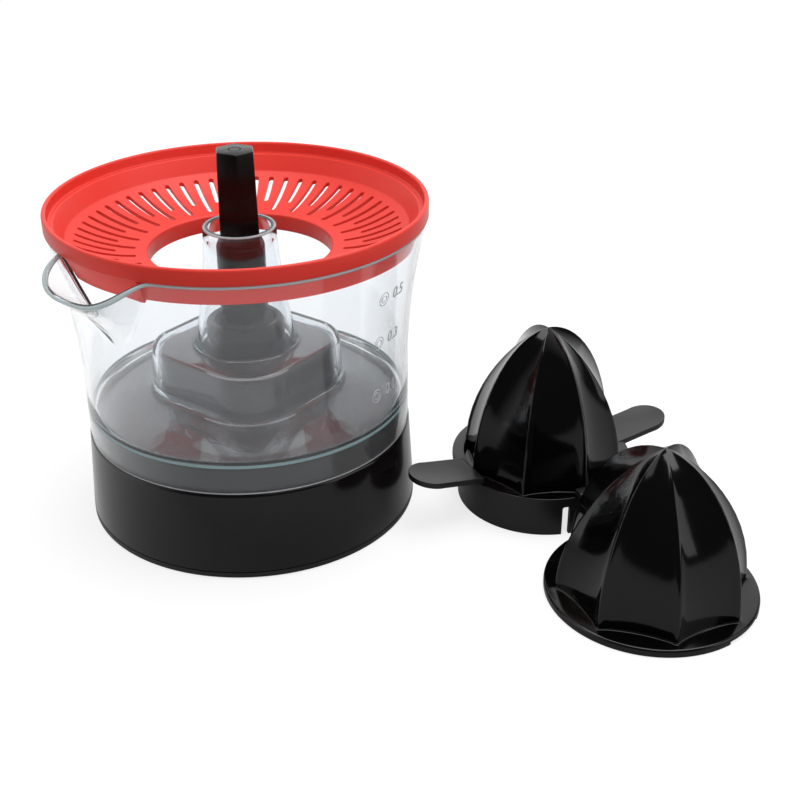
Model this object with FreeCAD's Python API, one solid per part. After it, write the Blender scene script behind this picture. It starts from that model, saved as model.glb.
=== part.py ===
import FreeCAD, Part
import math
import os

# Citrus press: motor base, clear jug, strainer and two cones, in millimetres, +Z up.
# The origin is on the table under the drive axis, and the spout points along -Y.

# base housing
base_foot_r = 65.5
base_draft = 1.9
base_height = 35.4
shell_wall = 2.2
shoulder_width = 3.1
step_height = 9.9
tower_side = 57.0
tower_corner_r = 16.0
tower_height = 20.7
tower_edge_r = 2.0
neck_r = 15.0
neck_height = 12.0

# base plate, feet and the screws that hold the plate
foot_height = 0.6
foot_r = 6.0
foot_stem_r = 3.0
foot_head_r = 4.2
foot_head_height = 1.4
foot_inset = 11.4
foot_start_deg = 60.0
base_plate_thick = 2.0
plate_lip_wall = 1.6
plate_lip_height = 4.0
seam_gap = 0.2
screw_post_inset = 3.4
base_screw_start_deg = 15.0
boss_r = 4.0
screw_r = 1.5
screw_head_r = 2.8
screw_head_height = 1.8
base_screw_bite = 10.0

# cord inlet
gland_height = 15.4
gland_bore_r = 3.2
gland_wall = 1.6
gland_flange_r = 7.0
gland_flange_thick = 1.2
gland_nose = 3.9
gland_proud = 1.6

# general fits
fixed_gap = 0.02
running_gap = 0.05
loose_gap = 0.3

# gear plate and its bosses under the deck
gear_plate_share = 0.78176
gear_plate_thick = 2.0
gear_boss_height = 9.1
gear_boss_inset = 6.0
gear_boss_degs = (-14.0, 104.0, 160.0, 225.0, 290.0)

# gears
gear_module = 0.8
pressure_deg = 25.0
tooth_addendum = 0.64
tooth_dedendum = 0.84
tooth_backlash = 0.12
motor_teeth = 10
wheel_teeth = 28
pinion_teeth = 10
output_teeth = 40
gear_line_deg = 45.0
wheel_thick = 5.0
wheel_lift = 1.5
motor_pinion_length = 5.8
output_face = 5.0
output_hub_r = 9.0
output_hub_height = 7.2
pinion_overrun = 1.0
gear_pin_r = 1.5
gear_pin_bite = 4.0
ceiling_boss_r = 3.2

# drive spindle and its bearings
journal_r = 7.5
seat_r = 6.0
seat_flat = 5.2
lower_journal_r = 4.0
lower_journal_length = 11.7
sleeve_r = 9.2
sleeve_lift = 3.5
sleeve_length = 26.5
hex_length = 36.0
hex_top_flats = 13.4
hex_bottom_flats = 14.8
hex_first_deg = 14.0
hex_mark_r = 2.4
hex_mark_depth = 0.4
bush_wall = 3.0
bush_drop = 5.8
neck_sleeve_wall = 2.5
seal_wall = 4.2
seal_height = 2.5
clip_groove_depth = 0.7
clip_thick = 0.9
clip_lift = 0.25
clip_r = 6.5
clip_opening = 3.0

# thrust cup and return spring
cup_wall = 1.15
cup_floor = 2.0
cup_height = 9.5
cup_flange_r = 7.4
cup_flange_thick = 1.5
cup_flange_drop = 1.0
stem_r = 3.0
stem_length = 7.6
spring_wire_r = 0.4
spring_mean_r = 6.35
spring_turns = 5

# pressure switch
lever_thick = 2.0
lever_width = 8.0
lever_inset = 8.0
lever_overhang = 4.0
lever_eye_r = 3.0
lever_pin_r = 1.5
lever_pin_proud = 0.5
lever_gap = 0.25
ear_thick = 2.0
ear_width = 6.0
switch_arm = 16.0
switch_length = 20.0
switch_width = 6.4
switch_depth = 10.0
switch_drop = 2.0
button_r = 1.5
button_depth = 3.0
button_stroke = 1.0
switch_screw_r = 1.0
switch_screw_head_r = 1.9
switch_screw_spacing = 9.5
switch_screw_height = 3.0
switch_wall_thick = 2.0
switch_wall_overrun = 2.0
switch_wall_drop = 1.0
terminal_width = 4.0
terminal_thick = 0.8
terminal_length = 6.5
terminal_spacing = 12.0

# motor
motor_wall_gap = 2.2
motor_height = 19.5
can_wall = 0.8
cover_thick = 0.8
motor_ear_out = 3.5
motor_ear_r = 4.2
motor_shaft_r = 1.5
motor_bush_r = 3.5
motor_bush_length = 3.6
pole_plate_thick = 1.0
pole_share = 0.5333
pole_finger_thick = 1.0
pole_finger_length = 11.0
pole_finger_deg = 26.0
pole_count = 4
bobbin_wall = 1.0
bobbin_share = 0.6042
coil_share = 0.275
magnet_share = 0.5
magnet_bore_share = 0.25
magnet_end_gap = 3.8
hub_overhang = 0.5

# jug
jug_height = 84.3
jug_wall = 2.0
jug_skirt_gap = 0.8
jug_flare_start = 30.6
jug_flare_mid = 59.6
jug_flare_share = 0.365
jug_rim_r = 70.7
jug_floor_gap = 0.5
cover_gap = 1.0
chimney_top_r = 13.8
chimney_foot_r = 19.8
chimney_mid_r = 16.2
chimney_mid_height = 19.0
chimney_height = 46.0
spout_half_width = 21.2
spout_reach = 13.0
spout_depth = 19.0
spout_dip = 7.7
spout_dip_mid = 0.27
spout_mid_share = 0.55
spout_back = 4.7
spout_square = 0.69
spout_foot_half_width = 10.5
spout_foot_proud = 1.4
spout_foot_back = 6.9

# strainer
strainer_wall = 1.8
strainer_rim_out = 0.3
strainer_rim_height = 6.0
strainer_rim_wall = 1.8
strainer_ledge_drop = 4.3
strainer_ledge_width = 2.0
strainer_slope_in = 3.4
strainer_dish_drop = 10.5
strainer_dish_depth = 8.2
strainer_dish_sag = 2.1
strainer_hole_r = 34.5
strainer_collar_height = 6.5
strainer_fit_gap = 0.6
strainer_skirt_draft = 0.17
strainer_skirt_drop = 7.8
guard_out = 0.3
guard_wall = 1.2
guard_half_deg = 16.2
guard_extra_drop = 1.0
guard_bite = 0.45
slot_count = 60
slot_width = 1.7
slot_rim_gap = 2.8
slot_long_inner_r = 39.0
slot_short_inner_r = 46.0

# cones
cone_wall = 2.0
cone_valley = 0.955
cone_sharpness = 1.6
cone_layers_deg = (0.0, 15.0, 30.0, 44.0, 57.0, 68.0, 76.0, 81.0)
cone_cavity_layers = 6
small_x = 96.8
small_y = 66.7
small_ridge_r = 32.5
small_ridge_height = 57.7
small_primary_deg = -26.6
skirt_gap = 1.1
skirt_height = 16.5
skirt_slot_width = 3.0
skirt_slot_height = 12.6
skirt_slot_deg = -41.2
arm_axis_deg = 63.0
arm_tip_r = 59.5
arm_half_width = 8.8
arm_straight_r = 49.0
arm_thick = 2.6
arm_rise = 4.7
heel_r = 36.0
heel_deg = 97.0
socket_boss_r = 10.8
socket_mouth = 24.0
socket_depth = 27.3
socket_gap = 0.25
large_x = 165.0
large_y = 32.2
large_ridge_r = 36.3
large_ridge_height = 56.9
large_primary_deg = -4.2
flange_r = 39.1
flange_thick = 3.0
flange_notch_deg = -5.0
flange_notch_half_deg = 14.0
flange_notch_depth = 1.5
flange_notch_in = 2.0

# radii that follow from the sizes above
base_top_r = base_foot_r - base_draft
inner_r = base_top_r - shell_wall
step_r = base_top_r - shoulder_width
foot_ring_r = inner_r - foot_inset
base_screw_ring_r = inner_r - boss_r - screw_post_inset
gear_plate_r = inner_r * gear_plate_share
gear_boss_ring_r = gear_plate_r - gear_boss_inset
lever_reach = gear_plate_r - lever_inset

# heights that follow from the sizes above
plate_under = foot_height
plate_top = plate_under + base_plate_thick
seam_z = plate_top + seam_gap
shoulder_z = base_height
deck_z = shoulder_z + step_height
deck_under = deck_z - shell_wall
tower_top = deck_z + tower_height
ceiling = tower_top - shell_wall
neck_top = tower_top + neck_height
gear_plate_top = deck_under - gear_boss_height
gear_plate_under = gear_plate_top - gear_plate_thick
bush_under = ceiling - bush_drop
bush_top = neck_top - seal_height
bush_r = journal_r + running_gap + bush_wall
hub_top = bush_under - loose_gap
output_under = hub_top - output_hub_height
wheel_under = gear_plate_top + wheel_lift
pinion_top = output_under + output_face + pinion_overrun
spindle_foot = output_under - lower_journal_length
cup_under = spindle_foot - running_gap * 2 - cup_floor
cup_r = lower_journal_r + running_gap + cup_wall
cup_flange_under = cup_under + cup_height - cup_flange_thick - cup_flange_drop
stem_foot = cup_under - stem_length
lever_top = stem_foot - lever_gap
lever_mid = lever_top - lever_thick / 2
switch_top = lever_top - lever_thick - switch_drop
switch_under = switch_top - switch_depth
switch_y = switch_arm - lever_reach
rim_z = shoulder_z + jug_height
floor_under = deck_z + jug_floor_gap
floor_top = floor_under + jug_wall
cover_top = tower_top + cover_gap + jug_wall
chimney_top = cover_top + chimney_height
sleeve_foot = neck_top + sleeve_lift
hex_foot = sleeve_foot + sleeve_length
hex_top = hex_foot + hex_length

# plan positions of the gear train
stage_one = gear_module * (motor_teeth + wheel_teeth) / 2
stage_two = gear_module * (pinion_teeth + output_teeth) / 2
gear_line = math.radians(gear_line_deg)
pin_x = stage_two * math.cos(gear_line)
pin_y = stage_two * math.sin(gear_line)
motor_x = (stage_one + stage_two) * math.cos(gear_line)
motor_y = (stage_one + stage_two) * math.sin(gear_line)

# the motor hangs from the gear plate and fills the room beside the gear train
motor_r = inner_r - motor_wall_gap - stage_one - stage_two
motor_ear_reach = motor_r + motor_ear_out
pole_finger_r = motor_r * pole_share
bobbin_bore_r = motor_r * bobbin_share
coil_depth = motor_r * coil_share
magnet_r = motor_r * magnet_share
magnet_bore_r = motor_r * magnet_bore_share
case_top = gear_plate_under - cover_thick
case_under = gear_plate_under - motor_height
stator_under = case_under + can_wall

vec = FreeCAD.Vector
up = vec(0, 0, 1)
start = vec(0, 0, 0)
reach_past = 1.0


def disc(radius, low, high, x=0.0, y=0.0):
    return Part.makeCylinder(radius, high - low, vec(x, y, low))


def ring(inner, outer, low, high, x=0.0, y=0.0):
    return disc(outer, low, high, x, y).cut(disc(inner, low - reach_past, high + reach_past, x, y))


def rod_x(radius, x_low, x_high, y, z):
    return Part.makeCylinder(radius, x_high - x_low, vec(x_low, y, z), vec(1, 0, 0))


def rod_y(radius, y_low, y_high, z):
    return Part.makeCylinder(radius, y_high - y_low, vec(0, y_low, z), vec(0, 1, 0))


def block(x_low, x_high, y_low, y_high, z_low, z_high):
    return Part.makeBox(x_high - x_low, y_high - y_low, z_high - z_low, vec(x_low, y_low, z_low))


def polar(radius, degrees):
    angle = math.radians(degrees)
    return radius * math.cos(angle), radius * math.sin(angle)


def around(radius, first_deg, count):
    return [polar(radius, first_deg + 360.0 * k / count) for k in range(count)]


def fuse_all(shapes):
    whole = shapes[0].multiFuse(shapes[1:]) if len(shapes) > 1 else shapes[0]
    return whole.removeSplitter()


def spun(points):
    corners = [vec(r, 0, z) for r, z in points]
    return Part.Face(Part.makePolygon(corners + corners[:1])).revolve(start, up, 360)


def spun_edges(edges):
    return Part.Face(Part.Wire(edges)).revolve(start, up, 360)


def profile_line(a, b):
    return Part.LineSegment(vec(a[0], 0, a[1]), vec(b[0], 0, b[1])).toShape()


def profile_arc(a, mid, b):
    return Part.Arc(vec(a[0], 0, a[1]), vec(mid[0], 0, mid[1]), vec(b[0], 0, b[1])).toShape()


def rounded_square(side, corner, low, high):
    half = side / 2
    inner = half - corner
    slant = corner * math.sqrt(0.5)
    edges = []
    for k in range(4):
        turn = FreeCAD.Rotation(up, 90 * k)
        a = turn.multVec(vec(half, -inner, low))
        b = turn.multVec(vec(half, inner, low))
        mid = turn.multVec(vec(inner + slant, inner + slant, low))
        c = turn.multVec(vec(inner, half, low))
        edges.append(Part.LineSegment(a, b).toShape())
        edges.append(Part.Arc(b, mid, c).toShape())
    return Part.Face(Part.Wire(edges)).extrude(vec(0, 0, high - low))


def hex_prism(low_flats, high_flats, low, high):
    wires = []
    for flats, z in ((low_flats, low), (high_flats, high)):
        corners = [vec(*polar(flats / math.sqrt(3), hex_first_deg + 60 * k), z) for k in range(6)]
        wires.append(Part.makePolygon(corners + corners[:1]))
    return Part.makeLoft(wires, True, True)


def sector(inner, outer, low, high, first_deg, last_deg):
    flat = ring(inner, outer, low, high)
    wedge = Part.makeCylinder(outer + reach_past, high - low, vec(0, 0, low), up, last_deg - first_deg)
    wedge.rotate(start, up, first_deg)
    return flat.common(wedge)


def moved(shape, x, y, z=0.0):
    shape.translate(vec(x, y, z))
    return shape


def write(node, shape):
    shape.exportStep("parts/" + node + ".step")
    print(node, len(shape.Solids), round(shape.Volume, 1), shape.isValid())


# gears

def gear_blank(teeth, low, high, tooth_deg):
    pitch_r = gear_module * teeth / 2
    pressure = math.radians(pressure_deg)
    base_r = pitch_r * math.cos(pressure)
    tip_r = pitch_r + tooth_addendum
    root_r = pitch_r - tooth_dedendum
    foot_flank_r = max(base_r, root_r)
    half_pitch = math.pi / (2 * teeth) - tooth_backlash / (2 * pitch_r)

    def half_angle(radius):
        slope = math.acos(min(1.0, base_r / radius))
        return half_pitch + math.tan(pressure) - pressure - math.tan(slope) + slope

    def spot(radius, angle):
        return vec(radius * math.cos(angle), radius * math.sin(angle), low)

    mid_r = (foot_flank_r + tip_r) / 2
    edges = []
    for k in range(teeth):
        centre = math.radians(tooth_deg) + 2 * math.pi * k / teeth
        next_centre = centre + 2 * math.pi / teeth
        foot_a = centre - half_angle(foot_flank_r)
        foot_b = centre + half_angle(foot_flank_r)
        foot_next = next_centre - half_angle(foot_flank_r)
        tip_a = spot(tip_r, centre - half_angle(tip_r))
        tip_b = spot(tip_r, centre + half_angle(tip_r))
        rise = spot(mid_r, centre - half_angle(mid_r))
        fall = spot(mid_r, centre + half_angle(mid_r))
        if root_r < foot_flank_r:
            edges.append(Part.LineSegment(spot(root_r, foot_a), spot(foot_flank_r, foot_a)).toShape())
        edges.append(Part.Arc(spot(foot_flank_r, foot_a), rise, tip_a).toShape())
        edges.append(Part.Arc(tip_a, spot(tip_r, centre), tip_b).toShape())
        edges.append(Part.Arc(tip_b, fall, spot(foot_flank_r, foot_b)).toShape())
        if root_r < foot_flank_r:
            edges.append(Part.LineSegment(spot(foot_flank_r, foot_b), spot(root_r, foot_b)).toShape())
        gap_mid = spot(root_r, (foot_b + foot_next) / 2)
        edges.append(Part.Arc(spot(root_r, foot_b), gap_mid, spot(root_r, foot_next)).toShape())
    return Part.Face(Part.Wire(edges)).extrude(vec(0, 0, high - low))


def double_flat(radius, flat, low, high):
    return disc(radius, low, high).common(block(-flat, flat, -radius, radius, low, high))


def output_gear():
    teeth = gear_blank(output_teeth, output_under, output_under + output_face, gear_line_deg)
    hub = disc(output_hub_r, output_under, hub_top)
    bore = double_flat(seat_r + fixed_gap, seat_flat + fixed_gap, output_under - reach_past,
                       hub_top + reach_past)
    return fuse_all([teeth, hub]).cut(bore)


def compound_gear():
    wheel = gear_blank(wheel_teeth, wheel_under, wheel_under + wheel_thick, gear_line_deg)
    gap_turn = gear_line_deg + 180 + 180.0 / pinion_teeth
    pinion = gear_blank(pinion_teeth, wheel_under + wheel_thick, pinion_top, gap_turn)
    foot = disc(gear_module * pinion_teeth / 2 - tooth_dedendum, gear_plate_top + loose_gap, wheel_under)
    whole = moved(fuse_all([wheel, pinion, foot]), pin_x, pin_y)
    return whole.cut(disc(gear_pin_r + running_gap, gear_plate_top, pinion_top + reach_past, pin_x, pin_y))


def gear_pin():
    return disc(gear_pin_r, gear_plate_under, pinion_top + loose_gap + gear_pin_bite, pin_x, pin_y)


def motor_pinion():
    gap_turn = gear_line_deg + 180 + 180.0 / motor_teeth
    low = gear_plate_top + loose_gap
    blank = gear_blank(motor_teeth, low, wheel_under + wheel_thick + loose_gap, gap_turn)
    bore = disc(motor_shaft_r + fixed_gap, low - reach_past, low + motor_pinion_length + reach_past)
    return moved(blank.cut(bore), motor_x, motor_y)


# base housing

def shell_outside():
    body = spun([(0, seam_z), (base_foot_r, seam_z), (base_top_r, shoulder_z), (step_r, shoulder_z),
                 (step_r, deck_z), (0, deck_z)])
    tower = rounded_square(tower_side, tower_corner_r, deck_z - reach_past, tower_top)
    top_edges = [e for e in tower.Edges if e.BoundBox.ZMin > tower_top - 0.001]
    tower = tower.makeFillet(tower_edge_r, top_edges)
    neck = disc(neck_r, tower_top - reach_past, neck_top)
    return fuse_all([body, tower, neck])


def shell_inside():
    low = seam_z - reach_past
    foot_in = base_foot_r - shell_wall
    room = spun([(0, low), (foot_in, low), (foot_in, seam_z), (inner_r, shoulder_z - shell_wall),
                 (step_r - shell_wall, shoulder_z - shell_wall), (step_r - shell_wall, deck_under),
                 (0, deck_under)])
    tower = rounded_square(tower_side - 2 * shell_wall, tower_corner_r - shell_wall, deck_under - reach_past,
                           ceiling)
    return fuse_all([room, tower])


def base_shell():
    bush_bore = bush_r + fixed_gap
    posts = [disc(boss_r, plate_top, deck_under + reach_past, x, y)
             for x, y in around(base_screw_ring_r, base_screw_start_deg, 4)]
    hangers = [disc(boss_r, gear_plate_top, deck_under + reach_past, *polar(gear_boss_ring_r, a))
               for a in gear_boss_degs]
    pin_boss = disc(ceiling_boss_r, pinion_top + loose_gap, ceiling + reach_past, pin_x, pin_y)
    neck_sleeve = disc(bush_bore + neck_sleeve_wall, bush_under, ceiling + reach_past)
    whole = fuse_all([shell_outside().cut(shell_inside()), pin_boss, neck_sleeve] + posts + hangers)
    cuts = [disc(bush_bore, bush_under - reach_past, neck_top + reach_past)]
    cuts.append(disc(journal_r + running_gap + seal_wall, bush_top, neck_top + reach_past))
    pin_end = pinion_top + loose_gap * 2 + gear_pin_bite
    cuts.append(disc(gear_pin_r + fixed_gap, pinion_top, pin_end, pin_x, pin_y))
    for x, y in around(base_screw_ring_r, base_screw_start_deg, 4):
        cuts.append(disc(screw_r + fixed_gap, plate_top - reach_past, plate_top + base_screw_bite, x, y))
    for a in gear_boss_degs:
        x, y = polar(gear_boss_ring_r, a)
        cuts.append(disc(screw_r + fixed_gap, gear_plate_top - reach_past, deck_under - reach_past, x, y))
    gland_room = rod_y(gland_bore_r + gland_wall + fixed_gap, base_top_r - 4 * shell_wall,
                       base_foot_r + reach_past, gland_height)
    return whole.cut(Part.makeCompound(cuts)).cut(gland_room)


def base_plate():
    disc_part = disc(base_foot_r, plate_under, plate_top)
    lip_r = base_foot_r - shell_wall - loose_gap * 2
    lip = ring(lip_r - plate_lip_wall, lip_r, plate_top - fixed_gap, plate_top + plate_lip_height)
    half_wall = switch_length / 2 + switch_wall_overrun
    wall = block(switch_width / 2, switch_width / 2 + switch_wall_thick, switch_y - half_wall,
                 switch_y + half_wall, plate_top - fixed_gap, switch_top - switch_wall_drop)
    whole = fuse_all([disc_part, lip, wall])
    cuts = []
    for x, y in around(base_screw_ring_r, base_screw_start_deg, 4):
        cuts.append(disc(screw_r + running_gap, plate_under - reach_past, plate_top + reach_past, x, y))
        cuts.append(disc(screw_head_r + loose_gap, plate_under - reach_past,
                         plate_under + base_plate_thick / 2, x, y))
        cuts.append(disc(boss_r + loose_gap, plate_top, plate_top + plate_lip_height + reach_past, x, y))
    for x, y in around(foot_ring_r, foot_start_deg, 4):
        cuts.append(disc(foot_stem_r + fixed_gap, plate_under - reach_past, plate_top + reach_past, x, y))
    for y in switch_screw_ys():
        cuts.append(rod_x(switch_screw_r + fixed_gap, 0, switch_width, y, switch_under + switch_screw_height))
    return whole.cut(Part.makeCompound(cuts))


def rubber_feet():
    feet = []
    for x, y in around(foot_ring_r, foot_start_deg, 4):
        pad = disc(foot_r, 0, plate_under, x, y)
        stem = disc(foot_stem_r, plate_under, plate_top, x, y)
        head = disc(foot_head_r, plate_top, plate_top + foot_head_height, x, y)
        feet.append(fuse_all([pad, stem, head]))
    return Part.makeCompound(feet)


def screw(x, y, head_low, head_high, tip):
    return fuse_all([disc(screw_head_r, head_low, head_high, x, y), disc(screw_r, head_high, tip, x, y)])


def base_screws():
    head_high = plate_under + base_plate_thick / 2
    head_low = head_high - screw_head_height / 2
    tip = plate_top + base_screw_bite - reach_past
    return Part.makeCompound([screw(x, y, head_low, head_high, tip)
                              for x, y in around(base_screw_ring_r, base_screw_start_deg, 4)])


def gear_plate_screws():
    screws = []
    for a in gear_boss_degs:
        x, y = polar(gear_boss_ring_r, a)
        screws.append(screw(x, y, gear_plate_under - screw_head_height, gear_plate_under,
                            deck_under - 2 * reach_past))
    return Part.makeCompound(screws)


def wall_cone(out):
    return spun([(0, seam_z), (base_foot_r + out, seam_z), (base_top_r + out, shoulder_z), (0, shoulder_z)])


def cord_gland():
    body_r = gland_bore_r + gland_wall
    rise = (gland_height - seam_z) / (shoulder_z - seam_z)
    wall_y = base_foot_r - base_draft * rise
    inside = wall_y - shell_wall - gland_nose
    outside = wall_y + gland_proud
    body = rod_y(body_r, inside, outside, gland_height)
    flange = rod_y(gland_flange_r, inside, outside + gland_flange_r, gland_height)
    flange = flange.common(wall_cone(gland_flange_thick)).cut(wall_cone(running_gap))
    bore = rod_y(gland_bore_r, inside - reach_past, outside + reach_past, gland_height)
    return fuse_all([body, flange]).cut(bore)


# gear plate and bearings

def gear_plate():
    plate = disc(gear_plate_r, gear_plate_under, gear_plate_top)
    ears = []
    for side in (-1, 1):
        near = side * (lever_width / 2 + loose_gap)
        far = side * (lever_width / 2 + loose_gap + ear_thick)
        ears.append(block(min(near, far), max(near, far), -lever_reach - ear_width / 2,
                          -lever_reach + ear_width / 2, lever_mid - lever_eye_r,
                          gear_plate_under + fixed_gap))
    whole = fuse_all([plate] + ears)
    low = gear_plate_under - reach_past
    high = gear_plate_top + reach_past
    cuts = [disc(stem_r + running_gap, low, high)]
    cuts.append(disc(gear_pin_r + fixed_gap, low, high, pin_x, pin_y))
    cuts.append(disc(motor_bush_r + fixed_gap, low, high, motor_x, motor_y))
    for a in gear_boss_degs:
        cuts.append(disc(screw_r + running_gap, low, high, *polar(gear_boss_ring_r, a)))
    for x, y in motor_ear_spots():
        cuts.append(disc(screw_r + fixed_gap, low, high, x, y))
    cuts.append(rod_x(lever_pin_r + fixed_gap, -lever_width, lever_width, -lever_reach, lever_mid))
    return whole.cut(Part.makeCompound(cuts))


def neck_bush():
    return ring(journal_r + running_gap, bush_r, bush_under, bush_top)


def spindle_seal():
    return ring(journal_r + running_gap, journal_r + running_gap + seal_wall - fixed_gap, bush_top, neck_top)


# spindle group

def drive_spindle():
    lower = disc(lower_journal_r, spindle_foot, output_under)
    seat = double_flat(seat_r, seat_flat, output_under, hub_top)
    journal = disc(journal_r, hub_top, sleeve_foot)
    sleeve = disc(sleeve_r, sleeve_foot, hex_foot)
    hexagon = hex_prism(hex_bottom_flats, hex_top_flats, hex_foot, hex_top)
    whole = fuse_all([lower, seat, journal, sleeve, hexagon])
    groove_high = output_under - clip_lift
    groove = ring(lower_journal_r - clip_groove_depth, lower_journal_r + reach_past,
                  groove_high - clip_thick - 2 * running_gap, groove_high)
    gate_mark = ring(hex_mark_r - hex_mark_depth, hex_mark_r, hex_top - hex_mark_depth, hex_top + reach_past)
    return whole.cut(groove).cut(gate_mark)


def spindle_clip():
    high = output_under - clip_lift - running_gap
    inner = lower_journal_r - clip_groove_depth + running_gap
    washer = ring(inner, clip_r, high - clip_thick, high)
    half = clip_opening / 2
    return washer.cut(block(0, clip_r + reach_past, -half, half, high - clip_thick, high))


def thrust_cup():
    cup = disc(cup_r, cup_under, cup_under + cup_height)
    flange = disc(cup_flange_r, cup_flange_under, cup_flange_under + cup_flange_thick)
    stem = disc(stem_r, stem_foot, cup_under)
    bore = disc(lower_journal_r + running_gap, cup_under + cup_floor, cup_under + cup_height + reach_past)
    return fuse_all([cup, flange, stem]).cut(bore)


def return_spring():
    low = gear_plate_top + spring_wire_r + running_gap
    high = cup_flange_under - spring_wire_r - running_gap
    path = Part.makeHelix((high - low) / spring_turns, high - low, spring_mean_r)
    tangent = path.Edges[0].tangentAt(path.Edges[0].FirstParameter)
    wire = Part.Wire(Part.makeCircle(spring_wire_r, vec(spring_mean_r, 0, 0), tangent))
    tube = Part.Wire(path.Edges).makePipeShell([wire], True, True)
    return moved(tube, 0, 0, low)


# switch

def switch_screw_ys():
    return [switch_y - switch_screw_spacing / 2, switch_y + switch_screw_spacing / 2]


def switch_lever():
    half = lever_width / 2
    bar = block(-half, half, -lever_reach, lever_overhang, lever_top - lever_thick, lever_top)
    eye = rod_x(lever_eye_r, -half, half, -lever_reach, lever_mid)
    bore = rod_x(lever_pin_r + running_gap, -lever_width, lever_width, -lever_reach, lever_mid)
    return fuse_all([bar, eye]).cut(bore)


def lever_pin():
    half = lever_width / 2 + loose_gap + ear_thick + lever_pin_proud
    return rod_x(lever_pin_r, -half, half, -lever_reach, lever_mid)


def switch_case():
    half = switch_width / 2
    reach = switch_length / 2
    body = block(-half, half, switch_y - reach, switch_y + reach, switch_under, switch_top)
    pocket_low = switch_top - button_depth - button_stroke - loose_gap
    cuts = [disc(button_r + running_gap, pocket_low, switch_top + reach_past, 0, switch_y)]
    for y in switch_screw_ys():
        cuts.append(rod_x(switch_screw_r + running_gap, -switch_width, switch_width, y,
                          switch_under + switch_screw_height))
    return body.cut(Part.makeCompound(cuts))


def switch_button():
    return disc(button_r, switch_top - button_depth, switch_top + switch_drop - lever_gap, 0, switch_y)


def switch_screws():
    screws = []
    for y in switch_screw_ys():
        z = switch_under + switch_screw_height
        shank = rod_x(switch_screw_r, -switch_width / 2, switch_width / 2 + switch_wall_thick, y, z)
        head = rod_x(switch_screw_head_r, -switch_width / 2 - reach_past, -switch_width / 2, y, z)
        screws.append(fuse_all([shank, head]))
    return Part.makeCompound(screws)


def switch_terminals():
    blades = []
    for side in (-1, 1):
        y = switch_y + side * terminal_spacing / 2
        blades.append(block(-terminal_thick / 2, terminal_thick / 2, y - terminal_width / 2,
                            y + terminal_width / 2, switch_under - terminal_length, switch_under))
    return Part.makeCompound(blades)


# motor

def motor_ear_spots():
    side = gear_line + math.pi / 2
    dx = motor_ear_reach * math.cos(side)
    dy = motor_ear_reach * math.sin(side)
    return [(motor_x + dx, motor_y + dy), (motor_x - dx, motor_y - dy)]


def motor_case():
    room = disc(motor_r - can_wall, stator_under, case_top + reach_past)
    can = disc(motor_r, case_under, case_top).cut(room)
    hole = disc(motor_bush_r + fixed_gap, case_under - reach_past, stator_under + reach_past)
    return moved(can.cut(hole), motor_x, motor_y)


def motor_cover():
    lid = disc(motor_r, case_top, gear_plate_under, motor_x, motor_y)
    ears = []
    for x, y in motor_ear_spots():
        ears.append(disc(motor_ear_r, case_top, gear_plate_under, x, y))
        bridge = block(0, motor_ear_reach, -motor_ear_r, motor_ear_r, case_top, gear_plate_under)
        bridge.rotate(start, up, math.degrees(math.atan2(y - motor_y, x - motor_x)))
        ears.append(moved(bridge, motor_x, motor_y))
    whole = fuse_all([lid] + ears)
    cuts = [disc(motor_bush_r + fixed_gap, case_top - reach_past, gear_plate_top, motor_x, motor_y)]
    for x, y in motor_ear_spots():
        cuts.append(disc(screw_r + running_gap, case_top - reach_past, gear_plate_top, x, y))
    return whole.cut(Part.makeCompound(cuts))


def motor_screws():
    return Part.makeCompound([screw(x, y, case_top - screw_head_height, case_top, gear_plate_top + reach_past)
                              for x, y in motor_ear_spots()])


def motor_bush(low, high):
    return ring(motor_shaft_r + running_gap, motor_bush_r, low, high, motor_x, motor_y)


def pole_plate(low, finger_low, first_deg):
    outer = motor_r - can_wall - loose_gap
    plate = ring(pole_finger_r, outer, low, low + pole_plate_thick)
    fingers = []
    for k in range(pole_count):
        turn = first_deg + 360.0 * k / pole_count
        fingers.append(sector(pole_finger_r, pole_finger_r + pole_finger_thick, finger_low,
                              finger_low + pole_finger_length, turn, turn + pole_finger_deg))
    return moved(fuse_all([plate] + fingers), motor_x, motor_y)


def lower_pole_plate():
    return pole_plate(stator_under, stator_under, 0.0)


def upper_pole_plate():
    low = case_top - pole_plate_thick
    return pole_plate(low, case_top - pole_finger_length, 180.0 / pole_count)


def bobbin_span():
    return stator_under + pole_plate_thick, case_top - pole_plate_thick


def stator_bobbin():
    low, high = bobbin_span()
    rim = bobbin_bore_r + bobbin_wall + coil_depth
    core = ring(bobbin_bore_r, bobbin_bore_r + bobbin_wall, low, high)
    flanges = [ring(bobbin_bore_r, rim, z, z + bobbin_wall) for z in (low, high - bobbin_wall)]
    return moved(fuse_all([core] + flanges), motor_x, motor_y)


def stator_coil():
    low, high = bobbin_span()
    inner = bobbin_bore_r + bobbin_wall + fixed_gap
    outer = bobbin_bore_r + bobbin_wall + coil_depth - loose_gap
    cheek = bobbin_wall + fixed_gap
    return ring(inner, outer, low + cheek, high - cheek, motor_x, motor_y)


def rotor_span():
    return stator_under + magnet_end_gap, case_top - magnet_end_gap


def rotor_magnet():
    low, high = rotor_span()
    return ring(magnet_bore_r, magnet_r, low, high, motor_x, motor_y)


def rotor_hub():
    low, high = rotor_span()
    return ring(motor_shaft_r + fixed_gap, magnet_bore_r - fixed_gap, low - hub_overhang, high + hub_overhang,
                motor_x, motor_y)


def motor_shaft():
    return disc(motor_shaft_r, case_under + loose_gap, gear_plate_top + loose_gap + motor_pinion_length,
                motor_x, motor_y)


# jug

def flare_z():
    return shoulder_z + jug_flare_start


def skirt_radii():
    skirt_in = step_r + jug_skirt_gap
    skirt_out = skirt_in + jug_wall
    mid_out = skirt_out + (jug_rim_r - skirt_out) * jug_flare_share
    return skirt_in, skirt_out, mid_out


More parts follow.
